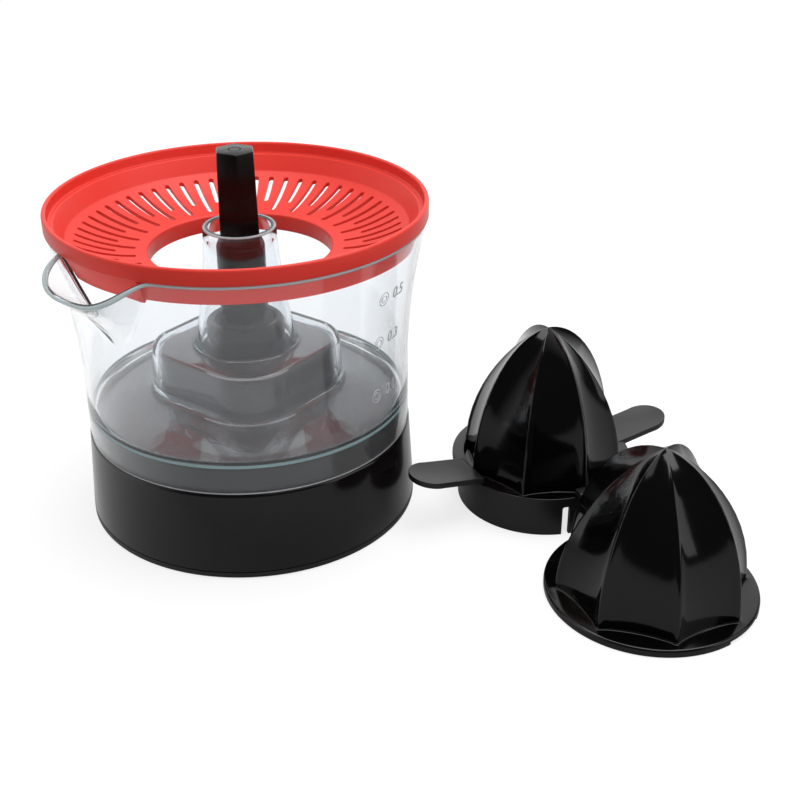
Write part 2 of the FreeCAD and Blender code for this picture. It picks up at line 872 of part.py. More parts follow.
def wall_r(z):
    skirt_out, mid_out = skirt_radii()[1:]
    mid = (mid_out, shoulder_z + jug_flare_mid)
    bend = profile_arc((skirt_out, flare_z()), mid, (jug_rim_r, rim_z)).Curve
    across = math.sqrt(bend.Radius ** 2 - (z - bend.Center.z) ** 2)
    return bend.Center.x - math.copysign(across, bend.Center.x - jug_rim_r)


def spout_bow(half, back_r, tip_r, z):
    spots = []
    for k in range(9):
        turn = math.pi * k / 8
        across = abs(math.cos(turn)) ** spout_square * math.copysign(1.0, math.cos(turn))
        out = math.sin(turn) ** spout_square if 0 < k < 8 else 0.0
        spots.append(vec(-half * across, -(back_r + (tip_r - back_r) * out), z))
    bow = Part.BSplineCurve()
    bow.interpolate(spots)
    return Part.Wire([bow.toShape(), Part.LineSegment(spots[8], spots[0]).toShape()])


def spout_loft(inset):
    back_r = jug_rim_r - spout_back - 2 * inset
    foot_z = rim_z - spout_depth
    foot_tip = wall_r(foot_z) + spout_foot_proud - inset
    foot_back = wall_r(foot_z) - spout_foot_back - 2 * inset
    tip_r = jug_rim_r + spout_reach - inset
    overhang = (tip_r - foot_tip) * spout_dip / (spout_depth - spout_dip)
    top = spout_bow(spout_half_width - inset, back_r, tip_r + overhang, rim_z)
    foot = spout_bow(spout_foot_half_width - inset, foot_back, foot_tip, foot_z + inset)
    return Part.makeLoft([top, foot], True, True)


def spout_trim():
    root_y = -math.sqrt(jug_rim_r ** 2 - spout_half_width ** 2)
    tip_y = -(jug_rim_r + spout_reach)
    mid_y = root_y + (tip_y - root_y) * spout_mid_share
    mid_z = rim_z - spout_dip * spout_dip_mid
    far_y = tip_y - 2 * spout_reach
    a = vec(0, root_y, rim_z)
    b = vec(0, tip_y, rim_z - spout_dip)
    c = vec(0, far_y, rim_z - spout_dip)
    d = vec(0, far_y, rim_z + spout_dip)
    e = vec(0, root_y, rim_z + spout_dip)
    edges = [Part.Arc(a, vec(0, mid_y, mid_z), b).toShape()]
    for p, q in ((b, c), (c, d), (d, e), (e, a)):
        edges.append(Part.LineSegment(p, q).toShape())
    trim = Part.Face(Part.Wire(edges)).extrude(vec(4 * spout_half_width, 0, 0))
    return moved(trim, -2 * spout_half_width, 0)


def jug_body(outer_r, mid_r, rim_r, low, top):
    edges = [profile_line((0, low), (outer_r, low)), profile_line((outer_r, low), (outer_r, flare_z()))]
    edges.append(profile_arc((outer_r, flare_z()), (mid_r, shoulder_z + jug_flare_mid), (rim_r, top)))
    edges.append(profile_line((rim_r, top), (0, top)))
    edges.append(profile_line((0, top), (0, low)))
    return spun_edges(edges)


def chimney(inset, low, high):
    foot = (chimney_foot_r - inset, cover_top)
    mid = (chimney_mid_r - inset, cover_top + chimney_mid_height)
    top = (chimney_top_r - inset, chimney_top)
    edges = [profile_line((0, low), (foot[0], low)), profile_line((foot[0], low), foot)]
    edges.append(profile_arc(foot, mid, top))
    edges.append(profile_line(top, (top[0], high)))
    edges.append(profile_line((top[0], high), (0, high)))
    edges.append(profile_line((0, high), (0, low)))
    return spun_edges(edges)


def jug():
    skirt_in, skirt_out, mid_out = skirt_radii()
    cover_side = tower_side + 2 * cover_gap
    cover_corner = tower_corner_r + cover_gap
    outside = jug_body(skirt_out, mid_out, jug_rim_r, shoulder_z, rim_z)
    outside = outside.fuse(spout_loft(0.0))
    room = jug_body(skirt_in, mid_out - jug_wall, jug_rim_r - jug_wall, floor_top, rim_z)
    room = room.fuse(spout_loft(jug_wall))
    under = disc(skirt_in, shoulder_z - reach_past, floor_under)
    cover = rounded_square(cover_side + 2 * jug_wall, cover_corner + jug_wall, floor_under, cover_top)
    cover_room = rounded_square(cover_side, cover_corner, floor_under - reach_past, cover_top - jug_wall)
    tube = chimney(0.0, cover_top - jug_wall / 2, chimney_top + fixed_gap)
    tube_room = chimney(jug_wall, cover_top - 2 * jug_wall, chimney_top + reach_past)
    whole = fuse_all([outside.cut(room).cut(under), cover, tube])
    whole = whole.cut(cover_room).cut(tube_room)
    return whole.cut(spout_trim()).removeSplitter()


# strainer

def strainer_rim():
    return jug_rim_r + strainer_rim_out


def strainer_skirt():
    low = rim_z - strainer_skirt_drop
    inset = jug_wall + strainer_fit_gap
    return jug_rim_r - inset, wall_r(low) - inset - strainer_skirt_draft, low


def dish_r():
    return strainer_rim() - strainer_rim_wall - strainer_ledge_width - strainer_slope_in


def spout_guard():
    top_r, foot_r, skirt_low = strainer_skirt()
    lean = (top_r - foot_r) / strainer_skirt_drop
    low_r = foot_r + guard_out - lean * guard_extra_drop
    high_r = top_r + guard_out + lean * guard_bite
    low = skirt_low - guard_extra_drop
    high = rim_z + guard_bite
    corners = [vec(low_r - guard_wall, 0, low), vec(low_r, 0, low), vec(high_r, 0, high),
               vec(high_r - guard_wall, 0, high)]
    panel = Part.Face(Part.makePolygon(corners + corners[:1])).revolve(start, up, 2 * guard_half_deg)
    panel.rotate(start, up, -90 - guard_half_deg)
    return panel


def strainer_profile():
    rim_out = strainer_rim()
    rim_in = rim_out - strainer_rim_wall
    top = rim_z + strainer_rim_height
    ledge_z = top - strainer_ledge_drop
    ledge_in = rim_in - strainer_ledge_width
    dish_out = (dish_r(), top - strainer_dish_drop)
    dish_in = (strainer_hole_r, dish_out[1] - strainer_dish_depth)
    mid = ((dish_out[0] + dish_in[0]) / 2, (dish_out[1] + dish_in[1]) / 2 - strainer_dish_sag)
    skirt_top_r, skirt_foot_r, skirt_low = strainer_skirt()
    skirt_in = skirt_foot_r - strainer_wall
    under_in = (strainer_hole_r + strainer_wall, dish_in[1] - strainer_wall)
    under_out = (skirt_in, dish_out[1] - strainer_wall)
    under_mid = (mid[0], mid[1] - strainer_wall)
    collar_low = dish_in[1] - strainer_collar_height
    edges = [profile_line((rim_out, rim_z), (rim_out, top)), profile_line((rim_out, top), (rim_in, top))]
    edges.append(profile_line((rim_in, top), (rim_in, ledge_z)))
    edges.append(profile_line((rim_in, ledge_z), (ledge_in, ledge_z)))
    edges.append(profile_line((ledge_in, ledge_z), dish_out))
    edges.append(profile_arc(dish_out, mid, dish_in))
    edges.append(profile_line(dish_in, (strainer_hole_r, collar_low)))
    edges.append(profile_line((strainer_hole_r, collar_low), (under_in[0], collar_low)))
    edges.append(profile_line((under_in[0], collar_low), under_in))
    edges.append(profile_arc(under_in, under_mid, under_out))
    edges.append(profile_line(under_out, (skirt_in, skirt_low)))
    edges.append(profile_line((skirt_in, skirt_low), (skirt_foot_r, skirt_low)))
    edges.append(profile_line((skirt_foot_r, skirt_low), (skirt_top_r, rim_z)))
    edges.append(profile_line((skirt_top_r, rim_z), (rim_out, rim_z)))
    return edges


def slot_tool(inner, degrees):
    low = rim_z - 2 * strainer_dish_drop
    high = rim_z
    half = slot_width / 2
    outer = dish_r() - slot_rim_gap
    bar = block(inner + half, outer - half, -half, half, low, high)
    ends = [disc(half, low, high, x, 0) for x in (inner + half, outer - half)]
    tool = fuse_all([bar] + ends)
    tool.rotate(start, up, degrees)
    return tool


def strainer():
    dish = spun_edges(strainer_profile())
    step = 360.0 / slot_count
    dish.rotate(start, up, step / 2)
    whole = fuse_all([dish, spout_guard()])
    tools = []
    for k in range(slot_count):
        inner = slot_long_inner_r if k % 2 == 0 else slot_short_inner_r
        tools.append(slot_tool(inner, -90 + k * step))
    return whole.cut(Part.makeCompound(tools))


# cones

def star_wire(primary_r, secondary_r, z, primary_deg):
    tips = []
    for k in range(8):
        radius = primary_r if k % 2 == 0 else secondary_r
        tips.append(vec(*polar(radius, primary_deg + 45 * k), z))
    edges = []
    for k in range(8):
        a = tips[k]
        b = tips[(k + 1) % 8]
        valley = vec((a.x + b.x) / 2 * cone_valley, (a.y + b.y) / 2 * cone_valley, z)
        edges.append(Part.Arc(a, valley, b).toShape())
    return Part.Wire(edges)


def ridged_body(foot_z, ridge_r, height, primary_deg, layers):
    wires = []
    for degrees in layers:
        lean = math.cos(math.radians(degrees))
        z = foot_z + height * math.sin(math.radians(degrees))
        wires.append(star_wire(ridge_r * lean, ridge_r * lean ** cone_sharpness, z, primary_deg))
    return Part.makeLoft(wires, True, False)


def ridged_pair(foot_z, ridge_r, height, primary_deg):
    outside = ridged_body(foot_z, ridge_r, height, primary_deg, cone_layers_deg)
    inside = ridged_body(foot_z, ridge_r - cone_wall, height - cone_wall, primary_deg,
                         cone_layers_deg[:cone_cavity_layers])
    return outside, inside


def arm_blade(turn_deg):
    skirt_r = strainer_hole_r - skirt_gap
    root_r = skirt_r - cone_wall
    low = skirt_height
    slope = spun([(root_r, low), (arm_tip_r + reach_past, low + arm_rise),
                  (arm_tip_r + reach_past, low + arm_rise + arm_thick), (root_r, low + arm_thick)])
    bottom = low - reach_past
    a = vec(root_r - 2 * cone_wall, -arm_half_width, bottom)
    b = vec(arm_straight_r, -arm_half_width, bottom)
    c = vec(arm_straight_r, arm_half_width, bottom)
    d = vec(root_r - 2 * cone_wall, arm_half_width, bottom)
    edges = [Part.LineSegment(a, b).toShape(), Part.Arc(b, vec(arm_tip_r, 0, bottom), c).toShape()]
    edges.append(Part.LineSegment(c, d).toShape())
    edges.append(Part.LineSegment(d, a).toShape())
    leaf = Part.Face(Part.Wire(edges)).extrude(vec(0, 0, arm_rise + arm_thick + 2 * reach_past))
    blade = slope.common(leaf)
    blade.rotate(start, up, turn_deg)
    heel = sector(root_r, heel_r, low, low + arm_thick, turn_deg - heel_deg, turn_deg)
    return fuse_all([blade, heel])


def small_cone():
    skirt_r = strainer_hole_r - skirt_gap
    outside, inside = ridged_pair(skirt_height, small_ridge_r, small_ridge_height, small_primary_deg)
    deck_low = skirt_height - cone_wall
    skirt = disc(skirt_r, 0, skirt_height)
    skirt_room = disc(skirt_r - cone_wall, -reach_past, deck_low)
    inner_r = small_ridge_r - cone_wall
    mouth = Part.Face(star_wire(inner_r, inner_r, deck_low - reach_past, small_primary_deg))
    mouth = mouth.extrude(vec(0, 0, cone_wall + reach_past))
    shell = fuse_all([outside, skirt]).cut(fuse_all([inside, mouth])).cut(skirt_room)
    boss_top = skirt_height + (small_ridge_height - cone_wall) * math.sin(
        math.radians(cone_layers_deg[cone_cavity_layers - 1])) + cone_wall / 2
    boss = disc(socket_boss_r, socket_mouth, boss_top).common(outside)
    arms = [arm_blade(arm_axis_deg), arm_blade(arm_axis_deg + 180)]
    whole = fuse_all([shell, boss] + arms)
    fall = (hex_bottom_flats - hex_top_flats) / hex_length
    top_flats = hex_top_flats + 2 * socket_gap
    mouth_flats = top_flats + fall * (socket_depth + reach_past)
    socket = hex_prism(mouth_flats, top_flats, socket_mouth - reach_past, socket_mouth + socket_depth)
    slots = []
    for turn in (skirt_slot_deg, skirt_slot_deg + 180):
        half = skirt_slot_width / 2
        bar = block(skirt_r - 2 * cone_wall, skirt_r + reach_past, -half, half, -reach_past,
                    skirt_slot_height - half)
        cap = rod_x(half, skirt_r - 2 * cone_wall, skirt_r + reach_past, 0, skirt_slot_height - half)
        tool = fuse_all([bar, cap])
        tool.rotate(start, up, turn)
        slots.append(tool)
    return moved(whole.cut(socket).cut(Part.makeCompound(slots)), small_x, small_y)


def large_cone():
    outside, inside = ridged_pair(flange_thick, large_ridge_r, large_ridge_height, large_primary_deg)
    inner_r = large_ridge_r - cone_wall
    flange = disc(flange_r, 0, flange_thick)
    mouth = Part.Face(star_wire(inner_r, inner_r, -reach_past, large_primary_deg))
    mouth = mouth.extrude(vec(0, 0, flange_thick + reach_past))
    whole = fuse_all([outside, flange]).cut(fuse_all([inside, mouth]))
    notches = []
    for turn in (flange_notch_deg, flange_notch_deg + 180):
        notches.append(sector(flange_r - flange_notch_in, flange_r + reach_past, -reach_past,
                              flange_notch_depth, turn - flange_notch_half_deg, turn + flange_notch_half_deg))
    return moved(whole.cut(Part.makeCompound(notches)), large_x, large_y)


def main():
    os.makedirs("parts", exist_ok=True)
    write("base_shell", base_shell())
    write("base_plate", base_plate())
    write("rubber_feet", rubber_feet())
    write("base_screws", base_screws())
    write("cord_gland", cord_gland())
    write("gear_plate", gear_plate())
    write("gear_plate_screws", gear_plate_screws())
    write("neck_bush", neck_bush())
    write("spindle_seal", spindle_seal())
    write("motor_case", motor_case())
    write("motor_cover", motor_cover())
    write("motor_screws", motor_screws())
    write("lower_motor_bush", motor_bush(case_under, case_under + motor_bush_length))
    write("upper_motor_bush", motor_bush(gear_plate_top - motor_bush_length, gear_plate_top))
    write("lower_pole_plate", lower_pole_plate())
    write("upper_pole_plate", upper_pole_plate())
    write("stator_bobbin", stator_bobbin())
    write("stator_coil", stator_coil())
    write("rotor_magnet", rotor_magnet())
    write("rotor_hub", rotor_hub())
    write("motor_shaft", motor_shaft())
    write("motor_pinion", motor_pinion())
    write("gear_pin", gear_pin())
    write("compound_gear", compound_gear())
    write("output_gear", output_gear())
    write("drive_spindle", drive_spindle())
    write("spindle_clip", spindle_clip())
    write("thrust_cup", thrust_cup())
    write("return_spring", return_spring())
    write("switch_lever", switch_lever())
    write("lever_pin", lever_pin())
    write("switch_case", switch_case())
    write("switch_button", switch_button())
    write("switch_screws", switch_screws())
    write("switch_terminals", switch_terminals())
    write("jug", jug())
    write("strainer", strainer())
    write("small_cone", small_cone())
    write("large_cone", large_cone())


main()
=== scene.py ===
import bpy
import math
from mathutils import Matrix, Vector


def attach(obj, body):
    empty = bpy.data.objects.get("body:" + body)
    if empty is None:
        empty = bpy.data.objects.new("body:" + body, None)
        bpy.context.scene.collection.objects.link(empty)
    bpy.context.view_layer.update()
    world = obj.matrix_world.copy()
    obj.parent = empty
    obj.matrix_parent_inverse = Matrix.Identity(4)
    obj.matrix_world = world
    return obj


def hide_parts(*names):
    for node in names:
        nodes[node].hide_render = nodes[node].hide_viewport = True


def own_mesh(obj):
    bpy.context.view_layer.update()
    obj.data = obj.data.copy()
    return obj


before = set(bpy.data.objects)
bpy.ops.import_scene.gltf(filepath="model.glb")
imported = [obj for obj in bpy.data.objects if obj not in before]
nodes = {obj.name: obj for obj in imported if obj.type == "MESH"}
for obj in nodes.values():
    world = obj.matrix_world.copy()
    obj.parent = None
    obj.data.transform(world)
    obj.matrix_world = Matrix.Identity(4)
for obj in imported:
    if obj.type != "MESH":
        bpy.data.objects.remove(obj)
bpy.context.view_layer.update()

mm = 0.001
weld = 2e-6      # metres; spots nearer than this are one
hair = 1e-4      # millimetres, less than any real step
print("frame loaded,", len(nodes), "nodes")


# shader maths: a socket that takes part in Python expressions
class Signal:
    def __init__(self, tree, socket):
        self.tree = tree
        self.socket = socket

    def combine(self, operation, other, swapped=False):
        node = self.tree.nodes.new("ShaderNodeMath")
        node.operation = operation
        pair = (other, self) if swapped else (self, other)
        for slot, value in zip(node.inputs, pair):
            plug(self.tree, slot, value)
        return Signal(self.tree, node.outputs[0])

    def __add__(self, other):
        return self.combine("ADD", other)

    def __radd__(self, other):
        return self.combine("ADD", other, True)

    def __sub__(self, other):
        return self.combine("SUBTRACT", other)

    def __rsub__(self, other):
        return self.combine("SUBTRACT", other, True)

    def __mul__(self, other):
        return self.combine("MULTIPLY", other)

    def __rmul__(self, other):
        return self.combine("MULTIPLY", other, True)

    def atLeast(self, other):
        return self.combine("MAXIMUM", other)

    def atMost(self, other):
        return self.combine("MINIMUM", other)


def plug(tree, slot, value):
    if isinstance(value, Signal):
        tree.links.new(value.socket, slot)
    elif isinstance(value, tuple) and len(value) == 3 and slot.type == "RGBA":
        slot.default_value = (*value, 1.0)
    else:
        slot.default_value = value


class Board:
    def __init__(self, tree):
        self.tree = tree

    def add(self, kind, settings=None, values=None):
        node = self.tree.nodes.new(kind)
        for key, value in (settings or {}).items():
            setattr(node, key, value)
        for key, value in (values or {}).items():
            plug(self.tree, node.inputs[key], value)
        return node

    def out(self, node, name):
        return Signal(self.tree, node.outputs[name])

    def spots(self):
        return self.out(self.add("ShaderNodeTexCoord"), "Object")

    def noise(self, scale, detail, rough, where=None):
        made = self.add("ShaderNodeTexNoise", None, {
            "Vector": where or self.spots(), "Scale": scale, "Detail": detail, "Roughness": rough})
        return self.out(made, "Fac")

    def bump(self, height, strength, depth):
        made = self.add("ShaderNodeBump", None, {"Height": height, "Strength": strength, "Distance": depth})
        return self.out(made, "Normal")

    def between(self, share, low, high):
        # a colour mix has its two colours at 6 and 7 and its result at 2
        made = self.add("ShaderNodeMix", {"data_type": "RGBA"}, {0: share, 6: low, 7: high})
        return self.out(made, 2)


def newFinish(name):
    finish = bpy.data.materials.new(name)
    finish.use_nodes = True
    board = Board(finish.node_tree)
    shader = finish.node_tree.nodes["Principled BSDF"]
    return finish, board, shader


def setShader(board, shader, values):
    for key, value in values.items():
        plug(board.tree, shader.inputs[key], value)


# noises of the finishes, each by scale, detail and roughness
grain = {"cloud": (38.0, 4.0, 0.55), "wave": (52.0, 1.0, 0.4), "fine": (2.0, 0.5), "depth": 0.0004,
         "scratch": (420.0, 4.0, 0.6), "scratchRough": 0.12,
         "scratchStrength": 0.06, "scratchDepth": 0.0003,
         "ripple": (24.0, 2.0, 0.4), "rippleStrength": 0.035, "rippleDepth": 0.002}
clear = {"tint": (0.965, 0.982, 1.0), "rough": 0.012, "ior": 1.5,
         "soak": (0.50, 0.66, 0.70), "density": 15.0}


def mouldedPlastic(name, dark, light, rough, spread, fineScale, fine, sway=0.0, ior=1.5):
    finish, board, shader = newFinish(name)
    where = board.spots()
    cloud = board.noise(*grain["cloud"], where)
    grit = board.noise(fineScale, *grain["fine"], where)
    wave = board.noise(*grain["wave"], where)
    setShader(board, shader, {
        "Base Color": board.between(cloud, dark, light),
        "Roughness": rough + (cloud - 0.5) * spread,
        "IOR": ior,
        "Normal": board.bump(grit * fine + wave * sway, 1.0, grain["depth"])})
    return finish


def metal(name, tint, rough):
    finish, board, shader = newFinish(name)
    scratch = board.noise(*grain["scratch"])
    setShader(board, shader, {
        "Base Color": tint, "Metallic": 1.0,
        "Roughness": rough + (scratch - 0.5) * grain["scratchRough"],
        "Normal": board.bump(scratch, grain["scratchStrength"], grain["scratchDepth"])})
    return finish


# passed is the share of the light that goes through, and the rest is haze
def clearPlastic(name, passed):
    finish, board, shader = newFinish(name)
    ripple = board.noise(*grain["ripple"])
    setShader(board, shader, {
        "Base Color": clear["tint"], "Roughness": clear["rough"], "IOR": clear["ior"],
        "Transmission Weight": passed,
        "Normal": board.bump(ripple, grain["rippleStrength"], grain["rippleDepth"])})
    soak = board.add("ShaderNodeVolumeAbsorption", None, {
        "Color": clear["soak"], "Density": clear["density"]})
    board.tree.links.new(soak.outputs[0], finish.node_tree.nodes["Material Output"].inputs["Volume"])
    return finish


glossBlack = mouldedPlastic("glossBlack", (0.0036, 0.0026, 0.0028), (0.0054, 0.0041, 0.0044),
                            rough=0.13, spread=0.05, fineScale=700.0, fine=0.03)
coneBlack = mouldedPlastic("coneBlack", (0.0010, 0.0010, 0.0010), (0.0022, 0.0021, 0.0022),
                           rough=0.11, spread=0.05, fineScale=800.0, fine=0.02, sway=0.5)
satinBlack = mouldedPlastic("satinBlack", (0.010, 0.010, 0.0105), (0.015, 0.015, 0.0155),
                            rough=0.40, spread=0.08, fineScale=1500.0, fine=0.10)
shaftBlack = mouldedPlastic("shaftBlack", (0.0030, 0.0016, 0.0015), (0.0045, 0.0025, 0.0024),
                            rough=0.22, spread=0.08, fineScale=900.0, fine=0.06, ior=1.27)
# the hex's top face, painted lighter and greyer than its sides: painted top light
shaftTopLit = mouldedPlastic("shaftTopLit", (0.0036, 0.0030, 0.0030), (0.0052, 0.0044, 0.0044),
                          rough=0.24, spread=0.08, fineScale=900.0, fine=0.06, ior=1.35)
satinRed = mouldedPlastic("satinRed", (0.79, 0.036, 0.022), (0.85, 0.045, 0.029),
                          rough=0.42, spread=0.07, fineScale=1100.0, fine=0.05, ior=1.42)
clearJug = clearPlastic("clearJug", 0.981)
# the chimney's copy has less haze, so it and what shows through it read darker: painted shade
clearChimneyShade = clearPlastic("clearChimneyShade", 0.995)
# pale finishes below are painted light: highlights along the clear jug's edges and cover corner, and a teal
# line at its floor's edge
paintedGlintPale = mouldedPlastic("paintedGlintPale", (0.36, 0.38, 0.40), (0.60, 0.62, 0.64),
                            rough=0.28, spread=0.10, fineScale=900.0, fine=0.06)
paintedLipGlint = mouldedPlastic("paintedLipGlint", (0.38, 0.44, 0.45), (0.53, 0.595, 0.605),
                         rough=0.25, spread=0.08, fineScale=500.0, fine=0.05)
paintedEdgeTeal = mouldedPlastic("paintedEdgeTeal", (0.20, 0.31, 0.33), (0.30, 0.44, 0.46),
                          rough=0.30, spread=0.08, fineScale=500.0, fine=0.05)
markGrey = mouldedPlastic("markGrey", (0.54, 0.56, 0.58), (0.62, 0.64, 0.66),
                          rough=0.45, spread=0.05, fineScale=900.0, fine=0.04)
rubber = mouldedPlastic("rubber", (0.016, 0.016, 0.017), (0.024, 0.024, 0.025),
                        rough=0.72, spread=0.10, fineScale=1300.0, fine=0.12)
nylon = mouldedPlastic("nylon", (0.72, 0.70, 0.64), (0.78, 0.76, 0.70),
                       rough=0.42, spread=0.08, fineScale=900.0, fine=0.06)
steel = metal("steel", (0.56, 0.56, 0.57), 0.30)
zinc = metal("zinc", (0.50, 0.50, 0.48), 0.42)
brass = metal("brass", (0.70, 0.52, 0.24), 0.34)
copper = metal("copper", (0.72, 0.36, 0.22), 0.36)
magnetGrey = mouldedPlastic("magnetGrey", (0.035, 0.034, 0.034), (0.055, 0.054, 0.053),
                            rough=0.55, spread=0.10, fineScale=1200.0, fine=0.10)
print("finishes made")


# modelling helpers
def deselectAll():
    if bpy.context.mode != "OBJECT":
        bpy.ops.object.mode_set(mode="OBJECT")
    bpy.ops.object.select_all(action="DESELECT")


def pickOnly(piece):
    deselectAll()
    piece.select_set(True)
    bpy.context.view_layer.objects.active = piece


def editAll(piece):
    pickOnly(piece)
    bpy.ops.object.mode_set(mode="EDIT")
    bpy.ops.mesh.select_all(action="SELECT")


def endEdit():
    bpy.ops.object.mode_set(mode="OBJECT")


def named(name):
    piece = bpy.context.object
    piece.name = name
    piece.data.name = name
    return piece


def cleanUp(piece):
    editAll(piece)
    bpy.ops.mesh.remove_doubles(threshold=weld)
    bpy.ops.mesh.normals_make_consistent(inside=False)
    endEdit()


def smoothBy(piece, degrees):
    pickOnly(piece)
    bpy.ops.object.shade_smooth_by_angle(angle=math.radians(degrees))


def atOrigin(piece):
    pickOnly(piece)
    bpy.ops.object.transform_apply(location=True, rotation=True, scale=True)


# corners of an outline, each by its place and, third, the radius that rounds it
def rounded(outline, bends=4):
    spots = []
    count = len(outline)
    for k, corner in enumerate(outline):
        here = Vector(corner[:2])
        radius = corner[2] if len(corner) > 2 else 0
        if not radius:
            spots.append(tuple(here))
            continue
        back = (Vector(outline[k - 1][:2]) - here).normalized()
        ahead = (Vector(outline[(k + 1) % count][:2]) - here).normalized()
        half = back.angle(ahead) / 2
        centre = here + (back + ahead).normalized() * (radius / math.sin(half))
        first = here + back * (radius / math.tan(half)) - centre
        last = here + ahead * (radius / math.tan(half)) - centre
        sweep = math.atan2(first.x * last.y - first.y * last.x, first.dot(last))
        for b in range(bends + 1):
            turn = sweep * b / bends
            spots.append((centre.x + first.x * math.cos(turn) - first.y * math.sin(turn),
                          centre.y + first.x * math.sin(turn) + first.y * math.cos(turn)))
    return spots


def drawOutline(name, spots):
    deselectAll()
    bpy.ops.mesh.primitive_plane_add(size=2 * mm)
    piece = named(name)
    bpy.ops.object.mode_set(mode="EDIT")
    bpy.ops.mesh.select_all(action="SELECT")
    bpy.ops.mesh.merge(type="CENTER")
    bpy.ops.transform.translate(value=(spots[0][0] * mm, 0, spots[0][1] * mm))
    for a, b in zip(spots, spots[1:] + spots[:1]):
        bpy.ops.mesh.extrude_region_move(
            TRANSFORM_OT_translate={"value": ((b[0] - a[0]) * mm, 0, (b[1] - a[1]) * mm)})
    bpy.ops.mesh.select_all(action="SELECT")
    bpy.ops.mesh.remove_doubles(threshold=weld)
    return piece


def lathe(name, spots, steps):
    piece = drawOutline(name, spots)
    bpy.ops.mesh.select_all(action="SELECT")
    bpy.ops.mesh.spin(steps=steps, angle=2 * math.pi, center=(0, 0, 0), axis=(0, 0, 1))
    endEdit()
    cleanUp(piece)
    return piece


def sweepPart(name, spots, steps, firstDeg, lastDeg):
    piece = drawOutline(name, spots)
    bpy.ops.mesh.select_all(action="SELECT")
    bpy.ops.mesh.edge_face_add()
    bpy.ops.mesh.spin(steps=steps, angle=math.radians(lastDeg - firstDeg),
                      center=(0, 0, 0), axis=(0, 0, 1))
    endEdit()
    # spin may go either way round, and the part then starts at the other end
    lowest = min(math.degrees(math.atan2(v.co.y, v.co.x)) for v in piece.data.vertices)
    turn = math.radians(firstDeg - (0 if lowest > -1 else firstDeg - lastDeg))
    piece.data.transform(Matrix.Rotation(turn, 4, "Z"))
    cleanUp(piece)
    return piece


def moveSpots(piece, mover):
    for v in piece.data.vertices:
        spot = mover(v.co.x / mm, v.co.y / mm, v.co.z / mm)
        v.co = Vector(spot) * mm
    piece.data.update()


def carve(piece, tool):
    pickOnly(piece)
    cut = piece.modifiers.new("cut", "BOOLEAN")
    cut.operation = "DIFFERENCE"
    cut.solver = "EXACT"
    cut.object = tool
    bpy.ops.object.modifier_apply(modifier="cut")
    bpy.data.objects.remove(tool)


def joinInto(piece, others):
    pickOnly(piece)
    for other in others:
        other.select_set(True)
    bpy.ops.object.join()


def softEdges(piece, width, segments, degrees=35):
    pickOnly(piece)
    edge = piece.modifiers.new("edge", "BEVEL")
    edge.width = width * mm
    edge.segments = segments
    edge.limit_method = "ANGLE"
    edge.angle_limit = math.radians(degrees)
    bpy.ops.object.modifier_apply(modifier="edge")


def dress(piece, finish, body, slot, *stoodFor):
    piece.data.materials.clear()
    piece.data.materials.append(finish)
    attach(piece, body)
    if stoodFor:
        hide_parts(*stoodFor)


# a second finish on the faces whose middle is chosen
def partFinish(piece, finish, chosen):
    piece.data.materials.append(finish)
    for face in piece.data.polygons:
        if chosen(face.center):
            face.material_index = 1


# a round outline turned into a square with round corners, by its half side
def squareReach(turn, half, core):
    fold = abs((turn + math.pi / 4) % (math.pi / 2) - math.pi / 4)
    if half * math.tan(fold) <= core:
        return half / math.cos(fold)
    lead = core * (math.cos(fold) + math.sin(fold))
    return lead + math.sqrt(lead * lead - 2 * core * core + (half - core) ** 2)


def squareOff(x, y, z, low, high, core):
    reach = math.hypot(x, y)
    if not low < reach < high:
        return x, y, z
    scale = squareReach(math.atan2(y, x), reach, core) / reach
    return x * scale, y * scale, z


# motor base
base = {"footR": 65.5, "topR": 63.6, "seam": 2.8, "shoulder": 35.4, "wall": 2.2, "columns": 240,
        "stepR": 60.5, "deck": 45.3, "deckRise": 3.6, "deckMid": 45.0,
        "towerHalf": 28.5, "towerTop": 66.0, "towerUnder": 63.8, "draft": 0.5, "topDish": 0.8,
        "core": 12.5, "squareFrom": 24.0, "squareTo": 30.0,
        "neckR": 15.0, "neckTop": 78.0, "sealR": 11.75, "sealFoot": 75.5,
        "boreR": 10.57, "bushFoot": 58.0, "bushR": 13.07,
        "inletR": 4.82, "inletZ": 15.4, "inletY": 63.0, "inletDeep": 20.0, "inletSides": 48, "smooth": 32}


def makeBase():
    b = base
    w = b["wall"]
    deckTop = b["deck"] + b["deckRise"]
    outline = rounded([
        (b["footR"] - w, b["seam"]), (b["footR"], b["seam"], 0.35), (b["topR"], b["shoulder"], 1.3),
        (b["stepR"], b["shoulder"], 0.5), (b["stepR"], b["deck"], 1.2),
        (b["deckMid"], b["deck"] + b["deckRise"] / 2), (b["towerHalf"] + b["draft"], deckTop, 1.0),
        (b["towerHalf"], b["towerTop"], 2.4), (b["neckR"], b["towerTop"] - b["topDish"], 0.9),
        (b["neckR"], b["neckTop"], 0.7), (b["sealR"], b["neckTop"], 0.4), (b["sealR"], b["sealFoot"]),
        (b["boreR"], b["sealFoot"]), (b["boreR"], b["bushFoot"]), (b["bushR"], b["bushFoot"]),
        (b["bushR"], b["towerUnder"]), (b["towerHalf"] - w, b["towerUnder"]),
        (b["towerHalf"] - w, b["deck"] - w), (b["stepR"] - w, b["deck"] - w),
        (b["stepR"] - w, b["shoulder"] - w), (b["topR"] - w, b["shoulder"] - w)])
    piece = lathe("base_housing", outline, b["columns"])
    moveSpots(piece, lambda x, y, z: squareOff(x, y, z, b["squareFrom"], b["squareTo"], b["core"]))
    deselectAll()
    bpy.ops.mesh.primitive_cylinder_add(
        vertices=b["inletSides"], radius=b["inletR"] * mm, depth=b["inletDeep"] * mm,
        location=(0, b["inletY"] * mm, b["inletZ"] * mm), rotation=(math.pi / 2, 0, 0))
    carve(piece, named("inletTool"))
    smoothBy(piece, b["smooth"])
    dress(piece, glossBlack, "base", "black_gloss", "base_shell")


makeBase()
print("base housing made")


